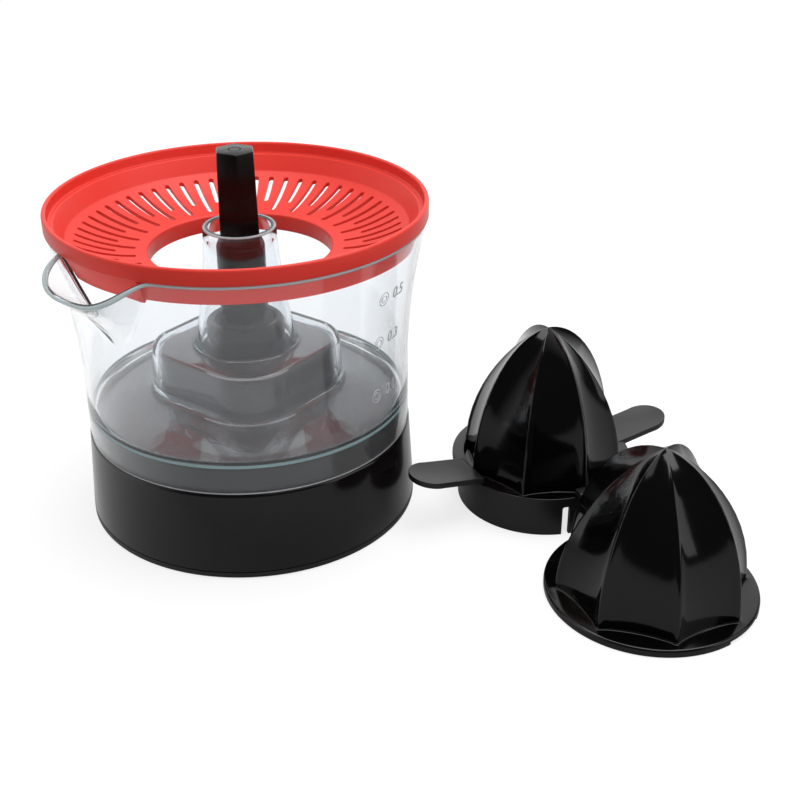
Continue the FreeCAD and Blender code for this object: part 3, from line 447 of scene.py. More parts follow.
# clear jug
jug = {"skirtIn": 61.3, "skirtOut": 63.3, "foot": 35.4, "skirtMid": 40.0, "skirtTop": 50.0,
       "wall": 2.0, "columns": 320, "crowd": 0.82, "squareFrom": 24.0, "squareTo": 36.0, "wallFrom": 60.0,
       "floorUnder": 45.8, "floorTop": 47.8, "floorRise": 3.6, "floorMid": 46.0, "innerFoot": 55.0,
       "flareZ": 66.0, "midR": 66.0, "midZ": 95.0, "rimR": 70.7, "rimZ": 119.7,
       "lowRows": 7, "lowStep": 2.9, "highFirst": 85.0, "highRows": 35, "highStep": 0.98,
       "lastRow": 118.9, "coverHalf": 31.5, "coverTop": 69.0, "core": 12.5, "draft": 0.6, "topDish": 0.8,
       "footFillet": 3.0, "chimneyFoot": 19.8, "chimneyMid": 16.2, "chimneyMidZ": 88.0,
       "chimneyTopR": 13.8, "chimneyTop": 115.0, "chimneyStart": 2.2, "chimneyRows": 10,
       "rootOut": 1.0, "rootIn": 0.6, "smooth": 40}
# widest and lipSide are angles from the spout's middle, in radians
spout = {"halfWide": 21.2, "back": 4.7, "reach": 13.0, "depth": 24.0, "dip": 7.7, "dipMid": 0.27,
         "midShare": 0.55, "square": 0.69, "footHalf": 8.0, "footTip": 64.9, "footBack": 58.0,
         "blend": 8.0, "thinBlend": 2.0, "fade": 14.0, "narrowest": 0.5, "widest": 1.2, "lipSide": 0.5,
         "halvings": 26, "lipHalvings": 24}


def circleThrough(a, b, c):
    (ax, ay), (bx, by), (cx, cy) = a, b, c
    d = 2 * (ax * (by - cy) + bx * (cy - ay) + cx * (ay - by))
    aa, bb, cc = ax * ax + ay * ay, bx * bx + by * by, cx * cx + cy * cy
    ux = (aa * (by - cy) + bb * (cy - ay) + cc * (ay - by)) / d
    uy = (aa * (cx - bx) + bb * (ax - cx) + cc * (bx - ax)) / d
    return ux, uy, math.hypot(ax - ux, ay - uy)


flareArc = circleThrough(
    (jug["skirtOut"], jug["flareZ"]), (jug["midR"], jug["midZ"]), (jug["rimR"], jug["rimZ"]))
chimneyArc = circleThrough(
    (jug["chimneyFoot"], jug["coverTop"]), (jug["chimneyMid"], jug["chimneyMidZ"]),
    (jug["chimneyTopR"], jug["chimneyTop"]))
lipRoot = math.sqrt(jug["rimR"] ** 2 - spout["halfWide"] ** 2)
lipTip = jug["rimR"] + spout["reach"]
lipMid = lipRoot * (1 - spout["midShare"]) + lipTip * spout["midShare"]
lipArc = circleThrough(
    (lipRoot, jug["rimZ"]), (lipMid, jug["rimZ"] - spout["dip"] * spout["dipMid"]),
    (lipTip, jug["rimZ"] - spout["dip"]))


def wallReach(z):
    if z <= jug["flareZ"]:
        return jug["skirtOut"]
    cx, cz, radius = flareArc
    return cx - math.sqrt(radius * radius - (z - cz) ** 2)


def chimneyReach(z):
    cx, cz, radius = chimneyArc
    return cx - math.sqrt(radius * radius - (z - cz) ** 2)


def lipHeight(out):
    if out <= lipRoot:
        return jug["rimZ"]
    cx, cz, radius = lipArc
    return cz + math.sqrt(max(radius * radius - (out - cx) ** 2, 0.0))


def bowSpot(turn, z, inset):
    s = spout
    footZ = jug["rimZ"] - s["depth"] + inset
    share = (z - footZ) / (jug["rimZ"] - footZ)
    tip = jug["rimR"] + s["reach"] - inset
    footTip = s["footTip"] - inset
    tip += (tip - footTip) * s["dip"] / (s["depth"] - s["dip"])
    half = max((s["halfWide"] - inset) * share + (s["footHalf"] - inset) * (1 - share), s["narrowest"])
    back = (jug["rimR"] - s["back"] - 2 * inset) * share + (s["footBack"] - 2 * inset) * (1 - share)
    front = tip * share + footTip * (1 - share)
    across = math.cos(turn) ** s["square"] if turn < math.pi / 2 else 0.0
    out = math.sin(turn) ** s["square"] if turn > 0 else 0.0
    return half * across, back + (front - back) * out


def bowReach(side, z, inset):
    if side > spout["widest"]:
        return 0.0
    low, high = 0.0, math.pi / 2
    x, y = bowSpot(low, z, inset)
    if math.atan2(x, y) < side:
        return x / math.sin(side)
    for k in range(spout["halvings"]):
        mid = (low + high) / 2
        x, y = bowSpot(mid, z, inset)
        if math.atan2(x, y) > side:
            low = mid
        else:
            high = mid
    return math.hypot(x, y)


def softMax(a, b, blend):
    gap = max(blend - abs(a - b), 0.0) / blend
    return max(a, b) + gap * gap * blend / 4


def spoutReach(side, z, inset):
    blend = spout["blend"] + spout["thinBlend"] * inset      # a thinner wall in the spout's root
    return softMax(wallReach(z) - inset, bowReach(side, z, inset), blend)


def lipTop(side, inset):
    low, high = jug["rimZ"] - spout["depth"], jug["rimZ"]
    if side > spout["lipSide"] or lipHeight(spoutReach(side, high, inset) * math.cos(side)) >= high:
        return high
    for k in range(spout["lipHalvings"]):
        mid = (low + high) / 2
        if lipHeight(spoutReach(side, mid, inset) * math.cos(side)) > mid:
            low = mid
        else:
            high = mid
    return low


def jugSpot(x, y, z):
    j = jug
    reach = math.hypot(x, y)
    turn = math.atan2(x, -y)
    turn -= j["crowd"] * math.sin(turn)      # more columns at the spout
    if j["squareFrom"] < reach < j["squareTo"]:
        reach = squareReach(turn, reach, j["core"])
    footZ = j["rimZ"] - spout["depth"]
    if z > footZ - spout["fade"] and reach > j["wallFrom"]:
        inset = wallReach(z) - reach
        side = abs(turn)
        if z > footZ:
            z = footZ + (z - footZ) * (lipTop(side, inset) - footZ) / (j["rimZ"] - footZ)
        reach = spoutReach(side, z, inset)
    return reach * math.sin(turn), -reach * math.cos(turn), z


def makeJug():
    j = jug
    w = j["wall"]
    rise = [j["flareZ"] + j["lowStep"] * k for k in range(j["lowRows"])]
    rise += [j["highFirst"] + j["highStep"] * k for k in range(j["highRows"])] + [j["lastRow"]]
    outerWall = [(wallReach(z), z) for z in rise]
    innerWall = [(wallReach(z) - w, z) for z in reversed(rise)]
    start, rows = j["coverTop"] + j["chimneyStart"], j["chimneyRows"]
    tall = [start + (j["chimneyTop"] - start) * k / rows for k in range(rows)]
    outerTube = [(chimneyReach(z), z) for z in tall]
    innerTube = [(chimneyReach(z) - w, z) for z in reversed(tall)]
    coverFoot = j["coverHalf"] + j["draft"]
    dished = j["coverTop"] - j["topDish"]
    outline = rounded(
        [(j["skirtIn"], j["foot"], 0.5), (j["skirtOut"], j["foot"], 0.6), (j["skirtOut"], j["skirtTop"])]
        + outerWall + [(j["rimR"], j["rimZ"], 0.5), (j["rimR"] - w, j["rimZ"], 0.5)] + innerWall
        + [(j["skirtIn"], j["innerFoot"]), (j["skirtIn"], j["floorTop"], 0.8),
           (j["floorMid"], j["floorTop"] + j["floorRise"] / 2),
           (coverFoot, j["floorTop"] + j["floorRise"], j["footFillet"]),
           (j["coverHalf"], j["coverTop"], 2.2), (j["chimneyFoot"] + j["rootOut"], dished, 1.2)]
        + outerTube
        + [(j["chimneyTopR"], j["chimneyTop"], 0.35), (j["chimneyTopR"] - w, j["chimneyTop"], 0.35)]
        + innerTube
        + [(j["chimneyFoot"] - w + j["rootIn"], dished - w, 0.8),
           (j["coverHalf"] - w, j["coverTop"] - w, 1.0),
           (coverFoot - w, j["floorUnder"] + j["floorRise"], 0.6),
           (j["floorMid"], j["floorUnder"] + j["floorRise"] / 2),
           (j["skirtIn"], j["floorUnder"], 0.7), (j["skirtIn"], j["skirtMid"])])
    piece = lathe("jug_clear", outline, j["columns"])
    moveSpots(piece, jugSpot)
    cleanUp(piece)
    smoothBy(piece, j["smooth"])
    dress(piece, clearJug, "jug_body", "clear_plastic", "jug")
    tubeLow, tubeOut = j["coverTop"] + j["rootOut"], j["chimneyFoot"] + j["rootOut"]
    # the chimney takes the less hazy copy: painted shade
    partFinish(piece, clearChimneyShade, lambda spot: spot.z > tubeLow * mm and spot.xy.length < tubeOut * mm)
    piece.visible_shadow = False


# pale rings along the clear jug's edges: painted highlights, standing in for the light those edges gather
# into pale lines
edges = {"floorIn": 61.5, "floorOut": 63.0, "floorLow": 46.1, "floorHigh": 47.1,
         "footIn": 62.7, "footOut": 63.25, "footLow": 35.5, "footHigh": 36.0,
         "ringIn": 12.85, "ringOut": 13.45, "ringLow": 114.1, "ringHigh": 114.65,
         "lipInset": 0.8, "lipDrop": 0.62, "lipR": 0.6, "lipSides": 10, "smooth": 60}


def makeEdge(name, outline, finish, mover=None):
    piece = lathe(name, outline, jug["columns"])
    if mover:
        moveSpots(piece, mover)
    smoothBy(piece, edges["smooth"])
    dress(piece, finish, "jug_body", "clear_plastic")
    piece.visible_shadow = False


def makeEdges():
    e = edges
    makeEdge("jug_floor_edge_glint", rounded([
        (e["floorIn"], e["floorLow"], 0.3), (e["floorOut"], e["floorLow"], 0.3),
        (e["floorOut"], e["floorHigh"], 0.45), (e["floorIn"], e["floorHigh"], 0.45)]), paintedEdgeTeal)
    makeEdge("jug_foot_edge_glint", rounded([
        (e["footIn"], e["footLow"], 0.15), (e["footOut"], e["footLow"], 0.15),
        (e["footOut"], e["footHigh"], 0.2), (e["footIn"], e["footHigh"], 0.2)]), paintedGlintPale)
    makeEdge("jug_chimney_edge_glint", rounded([
        (e["ringIn"], e["ringLow"], 0.2), (e["ringOut"], e["ringLow"], 0.2),
        (e["ringOut"], e["ringHigh"], 0.3), (e["ringIn"], e["ringHigh"], 0.3)]), paintedGlintPale)
    turns = [2 * math.pi * k / e["lipSides"] for k in range(e["lipSides"])]
    lip = [(jug["rimR"] - e["lipInset"] + e["lipR"] * math.cos(turn),
            jug["rimZ"] - e["lipDrop"] + e["lipR"] * math.sin(turn)) for turn in turns]
    makeEdge("jug_lip_edge_glint", lip, paintedLipGlint, jugSpot)


# fine serration along the cover's front corner, its beads painted pale as painted glints of the light it
# catches
serration = {"first": -74.0, "last": -20.0, "beads": 40, "beadR": 0.33, "smooth": 50,
             "rows": ((30.85, 68.3), (34.6, 51.2))}      # half side and height of each row


def makeSerration():
    s = serration
    parts = []
    for half, z in s["rows"]:
        for k in range(s["beads"]):
            turn = math.radians(s["first"] + (s["last"] - s["first"]) * k / (s["beads"] - 1))
            reach = squareReach(turn, half, jug["core"])
            deselectAll()
            bpy.ops.mesh.primitive_ico_sphere_add(
                subdivisions=2, radius=s["beadR"] * mm,
                location=(reach * math.cos(turn) * mm, reach * math.sin(turn) * mm, z * mm))
            parts.append(named("bead"))
    joinInto(parts[0], parts[1:])
    piece = parts[0]
    piece.name = piece.data.name = "jug_cover_serration_glints"
    atOrigin(piece)
    smoothBy(piece, s["smooth"])
    dress(piece, paintedGlintPale, "jug_body", "clear_plastic")
    piece.visible_shadow = False


makeJug()
makeEdges()
makeSerration()
print("jug made")


# slotted strainer
strainer = {"rimR": 71.0, "rimLow": 119.7, "rimTop": 125.7, "rimWall": 1.8,
            "ledgeZ": 121.4, "ledge": 2.0,
            "dishR": 63.8, "dishZ": 115.2, "holeR": 34.5, "holeZ": 107.0, "sag": 2.1, "dishRows": 9,
            "wall": 1.6, "columns": 240, "collarLow": 100.5,
            "skirtTop": 68.1, "skirtFoot": 66.2, "skirtLow": 111.9, "skirtLap": 0.4,
            "slots": 60, "slotWidth": 2.1, "slotOut": 61.0, "longIn": 39.0, "shortIn": 46.0,
            "slotSides": 20, "toolTall": 30.0, "toolZ": 110.0,
            "guardHalf": 14.4, "guardTop": 70.7, "guardFoot": 66.5, "guardWall": 1.3,
            "guardLow": 110.9, "guardLap": 0.5, "guardSteps": 28, "smooth": 30}


def makeStrainer():
    s = strainer
    w = s["wall"]
    midR = (s["dishR"] + s["holeR"]) / 2
    midZ = (s["dishZ"] + s["holeZ"]) / 2 - s["sag"]
    cx, cz, radius = circleThrough((s["dishR"], s["dishZ"]), (midR, midZ), (s["holeR"], s["holeZ"]))
    rows = s["dishRows"]
    inside = [s["dishR"] + (s["holeR"] - s["dishR"]) * k / rows for k in range(1, rows)]
    dish = [(r, cz - math.sqrt(radius * radius - (r - cx) ** 2)) for r in inside]
    under = [(r, z - w) for r, z in reversed(dish)]
    rimIn = s["rimR"] - s["rimWall"]
    outline = rounded(
        [(s["rimR"], s["rimLow"], 0.4), (s["rimR"], s["rimTop"], 0.85), (rimIn, s["rimTop"], 0.8),
         (rimIn, s["ledgeZ"], 0.7), (rimIn - s["ledge"], s["ledgeZ"], 0.7),
         (s["dishR"], s["dishZ"], 1.6)]
        + dish + [(s["holeR"], s["holeZ"], 0.7), (s["holeR"], s["collarLow"], 0.5),
                  (s["holeR"] + w, s["collarLow"], 0.5), (s["holeR"] + w, s["holeZ"] - w, 0.8)]
        + under + [(s["skirtFoot"] - w, s["dishZ"] - w + s["skirtLap"]),
                   (s["skirtFoot"] - w, s["skirtLow"], 0.5),
                   (s["skirtFoot"], s["skirtLow"], 0.5), (s["skirtTop"], s["rimLow"], 0.3)])
    piece = lathe("strainer_red", outline, s["columns"])
    tools = []
    half = s["slotWidth"] / 2
    for inner in (s["longIn"], s["shortIn"]):
        deselectAll()
        bpy.ops.mesh.primitive_cylinder_add(
            vertices=s["slotSides"], radius=half * mm, depth=s["toolTall"] * mm,
            location=(0, 0, s["toolZ"] * mm))
        tool = named("slotTool")
        atOrigin(tool)
        inBy, outBy = inner + half, s["slotOut"] - half
        moveSpots(tool, lambda x, y, z: (
            x + (outBy if x > hair else inBy if x < -hair else (inBy + outBy) / 2), y, z))
        tools.append(tool)
    row = []
    for k in range(s["slots"]):
        tool = tools[k % 2].copy()
        tool.data = tools[k % 2].data.copy()
        bpy.context.collection.objects.link(tool)
        turn = math.radians(-90 + k * 360 / s["slots"])
        tool.data.transform(Matrix.Rotation(turn, 4, "Z"))
        row.append(tool)
    for tool in tools:
        bpy.data.objects.remove(tool)
    joinInto(row[0], row[1:])
    carve(piece, row[0])
    guardTop = s["rimLow"] + s["guardLap"]
    guard = sweepPart("spoutGuard", rounded([
        (s["guardFoot"] - s["guardWall"], s["guardLow"], 0.3), (s["guardFoot"], s["guardLow"], 0.4),
        (s["guardTop"], guardTop), (s["guardTop"] - 2 * s["guardWall"], guardTop)], 3),
        s["guardSteps"], -90 - s["guardHalf"], -90 + s["guardHalf"])
    joinInto(piece, [guard])
    smoothBy(piece, s["smooth"])
    dress(piece, satinRed, "strainer_body", "red_plastic", "strainer")


makeStrainer()
print("strainer made")


# pressing cones
cone = {"wall": 2.0, "valley": 0.945, "sharp": 1.6, "soft": 0.03, "crest": 0.02, "crestWide": 0.05,
        "columns": 192, "crowd": 0.78, "firstTurn": 0.75, "slack": 0.01, "tipLean": 0.02, "smooth": 38,
        "turns": (1.2, 3, 6, 12, 18, 24, 30, 36, 42, 48, 54, 60, 65, 70, 74, 78, 81, 84, 86.5, 88.5)}
smallCone = {"x": 96.8, "y": 66.7, "ridge": 32.5, "height": 57.7, "foot": 16.5, "turn": -26.6,
             "skirtR": 33.4, "fillet": 0.45, "satinDrop": 0.2,
             "slotWide": 3.0, "slotTall": 12.6, "slotDeep": 12.0, "slotEdge": 0.9, "slotTurn": -41.2,
             "armTurn": 63.0, "armRoot": 31.4, "armMid": 40.0, "armStraight": 49.0, "armTip": 59.5,
             "armPast": 1.0, "armHalf": 8.8, "armThick": 2.6, "armRise": 4.7, "armEdge": 0.35,
             "armSteps": 24, "beadWide": 1.2, "beadTall": 0.4,
             "heelR": 36.0, "heelTurn": 97.0, "heelSteps": 48,
             "bossR": 10.8, "bossTall": 38.0, "bossSides": 64, "socketMouth": 24.0, "socketDepth": 27.3,
             "hexFlats": 13.9, "hexTurn": 14.0}
largeCone = {"x": 165.0, "y": 32.2, "ridge": 36.3, "height": 56.9, "foot": 3.0, "turn": -4.2,
             "flangeR": 39.1, "fillet": 0.7, "notchTurn": -5.0, "notchHalf": 14.0,
             "notchTall": 1.5, "notchIn": 2.0, "notchPast": 2.0, "notchUnder": -1.0, "notchSteps": 16}


def starShare(turn, lean):
    step = math.pi / 4      # eight panels, with a long and a short ridge in turn
    panel = math.floor(turn / step)
    side = turn - panel * step
    near = min(side, step - side)
    eased = math.sqrt(near * near + cone["soft"] ** 2)
    first = 1.0 if panel % 2 == 0 else lean ** (cone["sharp"] - 1)
    last = 1.0 if panel % 2 == 1 else lean ** (cone["sharp"] - 1)
    side = eased if side <= step / 2 else step - eased
    ax, ay = first, 0.0
    bx, by = last * math.cos(step), last * math.sin(step)
    vx, vy = (ax + bx) / 2 * cone["valley"], (ay + by) / 2 * cone["valley"]
    cx, cy, radius = circleThrough((ax, ay), (vx, vy), (bx, by))
    lead = cx * math.cos(side) + cy * math.sin(side)
    star = lead - math.sqrt(max(lead * lead - cx * cx - cy * cy + radius * radius, 0.0))
    tall = first if turn - panel * step <= step / 2 else last
    return star + cone["crest"] * (tall * math.exp(-(near / cone["crestWide"]) ** 2) - star)


def ridgedSpot(x, y, z, c):
    reach = math.hypot(x, y)
    turn = math.atan2(y, x) % (2 * math.pi)
    step = math.pi / 4
    panel = math.floor(turn / step + 1e-9)
    share = turn / step - panel
    # more columns at the ridges
    turn = (panel + share - cone["crowd"] * math.sin(2 * math.pi * share) / (2 * math.pi)) * step
    over = max(reach - c["ridge"], 0.0)
    reach -= over
    if z >= c["foot"] - hair and over < c["fillet"] + cone["slack"] and reach > cone["slack"]:
        shares = []
        for less in (0.0, cone["wall"]):
            up = min(max((z - c["foot"]) / (c["height"] - less), 0.0), 1.0)
            lean = math.sqrt(max(1 - up * up, 0.0))
            shares.append((abs((c["ridge"] - less) * lean - reach), lean))
        reach *= starShare(turn, max(min(shares)[1], cone["tipLean"]))
    reach += over
    turn += math.radians(c["turn"])
    return reach * math.cos(turn), reach * math.sin(turn), z


def domeSpots(ridge, height, foot, first=0.0):
    turns = [math.radians(a) for a in (first,) + cone["turns"]]
    return [(ridge * math.cos(a), foot + height * math.sin(a)) for a in turns]


def footFillet(c):
    f = c["fillet"]
    return [(c["ridge"] + f * (1 - math.cos(a)), c["foot"] + f * (1 - math.sin(a)))
            for a in (math.pi / 2, math.pi / 3, math.pi / 6)]


def armSpots(c):
    half, straight = c["armHalf"], c["armStraight"]
    side = [(c["armRoot"], half), (c["armMid"], half), (straight, half)]
    cx, _, radius = circleThrough((straight, -half), (c["armTip"], 0.0), (straight, half))
    sweep = math.atan2(half, straight - cx)
    spots = [(x, -y) for x, y in side]
    for k in range(1, c["armSteps"]):
        turn = -sweep + 2 * sweep * k / c["armSteps"]
        spots.append((cx + radius * math.cos(turn), radius * math.sin(turn)))
    return spots + side[::-1]


def makeArm(c, turn):
    spots = armSpots(c)
    deselectAll()
    bpy.ops.mesh.primitive_circle_add(vertices=len(spots), radius=mm, fill_type="NGON")
    arm = named("coneArm")
    for v, spot in zip(arm.data.vertices, spots):
        v.co = Vector((spot[0] * mm, spot[1] * mm, 0))
    editAll(arm)
    bpy.ops.mesh.normals_make_consistent(inside=False)
    bpy.ops.mesh.extrude_region_move(TRANSFORM_OT_translate={"value": (0, 0, c["armThick"] * mm)})
    bpy.ops.mesh.normals_make_consistent(inside=False)
    bpy.ops.mesh.inset(thickness=c["beadWide"] * mm, depth=-c["beadTall"] * mm)
    bpy.ops.mesh.select_all(action="SELECT")
    bpy.ops.mesh.normals_make_consistent(inside=False)
    endEdit()
    softEdges(arm, c["armEdge"], 3, 30)
    root = c["armRoot"]
    slope = c["armRise"] / (c["armTip"] + c["armPast"] - root)
    moveSpots(arm, lambda x, y, z: (x, y, z + c["foot"] + (math.hypot(x, y) - root) * slope))
    arm.data.transform(Matrix.Rotation(math.radians(turn), 4, "Z"))
    top = c["foot"] + c["armThick"]
    heel = sweepPart("coneHeel", rounded([
        (root, c["foot"]), (c["heelR"], c["foot"], 0.5), (c["heelR"], top, 0.8), (root, top)], 3),
        c["heelSteps"], turn - c["heelTurn"], turn)
    return [arm, heel]


# ridged shell on a foot outline, from the foot's fillet to the tip and down the inside
def shellOutline(c, footOutline, inside=()):
    w = cone["wall"]
    tip = c["foot"] + c["height"]
    outline = footOutline + footFillet(c)
    outline += domeSpots(c["ridge"], c["height"], c["foot"], cone["firstTurn"]) + [(0, tip), (0, tip - w)]
    outline += domeSpots(c["ridge"] - w, c["height"] - w, c["foot"])[::-1]
    return rounded(outline + list(inside))


def makeShell(name, c, outline):
    body = lathe(name, outline, cone["columns"])
    moveSpots(body, lambda x, y, z: ridgedSpot(x, y, z, c))
    cleanUp(body)
    return body


def makeSmallCone():
    c = smallCone
    w = cone["wall"]
    body = makeShell("small_cone_body_black", c, shellOutline(
        c, [(c["skirtR"] - w, 0, 0.4), (c["skirtR"], 0, 0.5), (c["skirtR"], c["foot"], 0.4)],
        [(c["ridge"] - w, c["foot"] - w), (c["skirtR"] - w, c["foot"] - w)]))
    for turn in (c["slotTurn"], c["slotTurn"] + 180):
        deselectAll()
        bpy.ops.mesh.primitive_cube_add(size=1)
        tool = named("skirtTool")
        tool.dimensions = (c["slotDeep"] * mm, c["slotWide"] * mm, 2 * c["slotTall"] * mm)
        tool.location = (c["skirtR"] * mm, 0, 0)
        atOrigin(tool)
        softEdges(tool, c["slotEdge"], 4)
        tool.data.transform(Matrix.Rotation(math.radians(turn), 4, "Z"))
        carve(body, tool)
    deselectAll()
    bpy.ops.mesh.primitive_cylinder_add(
        vertices=c["bossSides"], radius=c["bossR"] * mm, depth=c["bossTall"] * mm,
        location=(0, 0, (c["socketMouth"] + c["bossTall"] / 2) * mm))
    boss = named("coneBoss")
    atOrigin(boss)
    deselectAll()
    bpy.ops.mesh.primitive_cylinder_add(
        vertices=6, radius=c["hexFlats"] / math.sqrt(3) * mm, depth=2 * c["socketDepth"] * mm,
        location=(0, 0, c["socketMouth"] * mm), rotation=(0, 0, math.radians(c["hexTurn"] - 90)))
    tool = named("hexTool")
    atOrigin(tool)
    carve(boss, tool)
    arms = []
    for turn in (c["armTurn"], c["armTurn"] + 180):
        arms += makeArm(c, turn)
    joinInto(arms[0], arms[1:])
    arms = arms[0]
    arms.name = arms.data.name = "small_cone_arms"
    joinInto(body, [boss])
    for piece in (body, arms):
        piece.data.transform(Matrix.Translation((c["x"] * mm, c["y"] * mm, 0)))
        smoothBy(piece, cone["smooth"])
    dress(body, coneBlack, "small_cone_body", "black_gloss", "small_cone")
    dress(arms, satinBlack, "small_cone_body", "black_satin")
    partFinish(body, satinBlack, lambda spot: spot.z < (c["foot"] - c["satinDrop"]) * mm)


def makeLargeCone():
    c = largeCone
    body = makeShell("large_cone_black", c, shellOutline(
        c, [(c["ridge"] - cone["wall"], 0), (c["flangeR"], 0, 0.4), (c["flangeR"], c["foot"], 0.9)]))
    notchIn, notchOut = c["flangeR"] - c["notchIn"], c["flangeR"] + c["notchPast"]
    for turn in (c["notchTurn"], c["notchTurn"] + 180):
        tool = sweepPart("notchTool", [
            (notchIn, c["notchUnder"]), (notchOut, c["notchUnder"]), (notchOut, c["notchTall"]),
            (notchIn, c["notchTall"])], c["notchSteps"], turn - c["notchHalf"], turn + c["notchHalf"])
        carve(body, tool)
    body.data.transform(Matrix.Translation((c["x"] * mm, c["y"] * mm, 0)))
    smoothBy(body, cone["smooth"])
    dress(body, coneBlack, "large_cone_body", "black_gloss", "large_cone")


makeSmallCone()
makeLargeCone()
print("cones made")


# drive shaft
shaft = {"foot": 38.8, "stemR": 4.0, "stemTop": 50.5, "seatR": 6.0, "seatTop": 57.7, "journalR": 7.5,
         "sleeveR": 9.2, "sleeveFoot": 81.5, "hexFoot": 108.0, "hexTop": 144.0, "hexLap": 1.0,
         "lowFlats": 14.8, "topFlats": 13.4, "hexTurn": 14.0, "hexEdge": 0.55,
         "markR": 2.4, "markDeep": 0.4, "markPast": 1.0, "markSides": 40, "topDrop": 0.5,
         "columns": 96, "smooth": 32}


def makeShaft():
    s = shaft
    piece = lathe("drive_shaft", rounded([
        (0, s["foot"]), (s["stemR"], s["foot"], 0.4), (s["stemR"], s["stemTop"]),
        (s["seatR"], s["stemTop"]), (s["seatR"], s["seatTop"]), (s["journalR"], s["seatTop"]),
        (s["journalR"], s["sleeveFoot"], 0.5), (s["sleeveR"], s["sleeveFoot"], 0.5),
        (s["sleeveR"], s["hexFoot"], 0.6), (0, s["hexFoot"])], 3), s["columns"])
    deselectAll()
    tall = s["hexTop"] - s["hexFoot"] + s["hexLap"]
    bpy.ops.mesh.primitive_cylinder_add(vertices=6, radius=1, depth=1)
    prism = named("hexShaft")

    def taper(x, y, z):
        share = z * mm + 0.5      # of a prism one metre tall
        reach = (s["lowFlats"] * (1 - share) + s["topFlats"] * share) / math.sqrt(3)
        turn = math.atan2(y, x) + math.radians(s["hexTurn"] - 90)
        return reach * math.cos(turn), reach * math.sin(turn), s["hexTop"] - tall + tall * share

    moveSpots(prism, taper)
    softEdges(prism, s["hexEdge"], 3, 30)
    markIn, markLow = s["markR"] - s["markDeep"], s["hexTop"] - s["markDeep"]
    markHigh = s["hexTop"] + s["markPast"]
    ring = lathe("markTool", [
        (markIn, markLow), (s["markR"], markLow), (s["markR"], markHigh), (markIn, markHigh)],
        s["markSides"])
    carve(prism, ring)
    joinInto(piece, [prism])
    smoothBy(piece, s["smooth"])
    dress(piece, shaftBlack, "spindle", "black_gloss", "drive_spindle")
    # painted top light on the hex's top face
    partFinish(piece, shaftTopLit, lambda spot: spot.z > (s["hexTop"] - s["topDrop"]) * mm)


makeShaft()
print("shaft made")


# level marks on the jug
marks = {"turn": 1.0, "ringR": 2.5, "ringIn": 1.35, "line": 0.15, "gap": 3.1,
         "ringSides": 40, "lineSides": 8, "tall": 4.6, "fontShare": 1.35, "proud": 0.12, "bold": 0.04,
         "smooth": 30,
         "levels": (("0.5", 101.5), ("0.3", 83.5), ("0.1", 61.6))}


def wrapOnJug(piece, turn, z0):
    def wrap(x, y, z):
        height = z0 + y
        reach = wallReach(height) + z
        angle = math.radians(turn) + x / wallReach(height)
        return reach * math.cos(angle), reach * math.sin(angle), height
    moveSpots(piece, wrap)


def makeMarks():
    m = marks
    for label, height in m["levels"]:
        parts = []
        for reach in (m["ringR"], m["ringIn"]):
            deselectAll()
            bpy.ops.mesh.primitive_torus_add(
                major_radius=reach * mm, minor_radius=m["line"] * mm,
                major_segments=m["ringSides"], minor_segments=m["lineSides"])
            parts.append(named("levelRing"))
        deselectAll()
        bpy.ops.object.text_add()
        words = bpy.context.object
        words.data.body = label
        words.data.size = m["tall"] * m["fontShare"] * mm
        words.data.extrude = m["proud"] * mm
        words.data.offset = m["bold"] * mm
        words.data.align_y = "CENTER"
        words.location = ((m["ringR"] + m["gap"]) * mm, 0, 0)
        bpy.ops.object.convert(target="MESH")
        words = named("levelNumber")
        atOrigin(words)
        joinInto(parts[0], parts[1:] + [words])
        piece = parts[0]
        piece.name = piece.data.name = "level_mark_" + label.replace(".", "_")
        wrapOnJug(piece, m["turn"], height)
        cleanUp(piece)
        smoothBy(piece, m["smooth"])
        dress(piece, markGrey, "jug_body", "clear_plastic")
        piece.visible_shadow = False


makeMarks()
print("level marks made")

# return spring under the shaft's cup (on the real juicer it gets shorter when the shaft is pressed)
spring = {"travel": 2.5, "smooth": 60}


def makeSpring():
    piece = bpy.data.objects.new("return_spring_coil", nodes["return_spring"].data.copy())
    bpy.context.collection.objects.link(piece)
    cleanUp(piece)
    smoothBy(piece, spring["smooth"])
    dress(piece, steel, "base", "steel", "return_spring")
    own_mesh(piece)


makeSpring()
print("spring made")

# finishes of the CAD nodes that stay
stayFinish = {
    satinBlack: ("base_plate", "cord_gland", "switch_case", "motor_pinion"),
    rubber: ("rubber_feet", "spindle_seal"),
    zinc: ("base_screws", "gear_plate_screws", "motor_screws", "switch_screws", "motor_case",
           "motor_cover", "lower_pole_plate", "upper_pole_plate"),
    steel: ("gear_pin", "motor_shaft", "spindle_clip", "lever_pin"),
    brass: ("lower_motor_bush", "upper_motor_bush", "switch_terminals", "neck_bush"),
    copper: ("stator_coil",),
    magnetGrey: ("rotor_magnet",),
    nylon: ("gear_plate", "stator_bobbin", "rotor_hub", "compound_gear", "output_gear", "thrust_cup",
            "switch_lever", "switch_button")}
for finish, members in stayFinish.items():
    for member in members:
        held = nodes[member].data.materials
        held.clear()
        held.append(finish)
print("inner parts dressed")

# camera of the photograph
view = {"x": 316.236, "y": -327.472, "z": 282.437, "heading": -36.4095, "pitch": 28.2149,
        "roll": -0.0710, "pixels": 1272.928, "picture": 800.0, "sensor": 36.0, "near": 0.01, "far": 50.0}


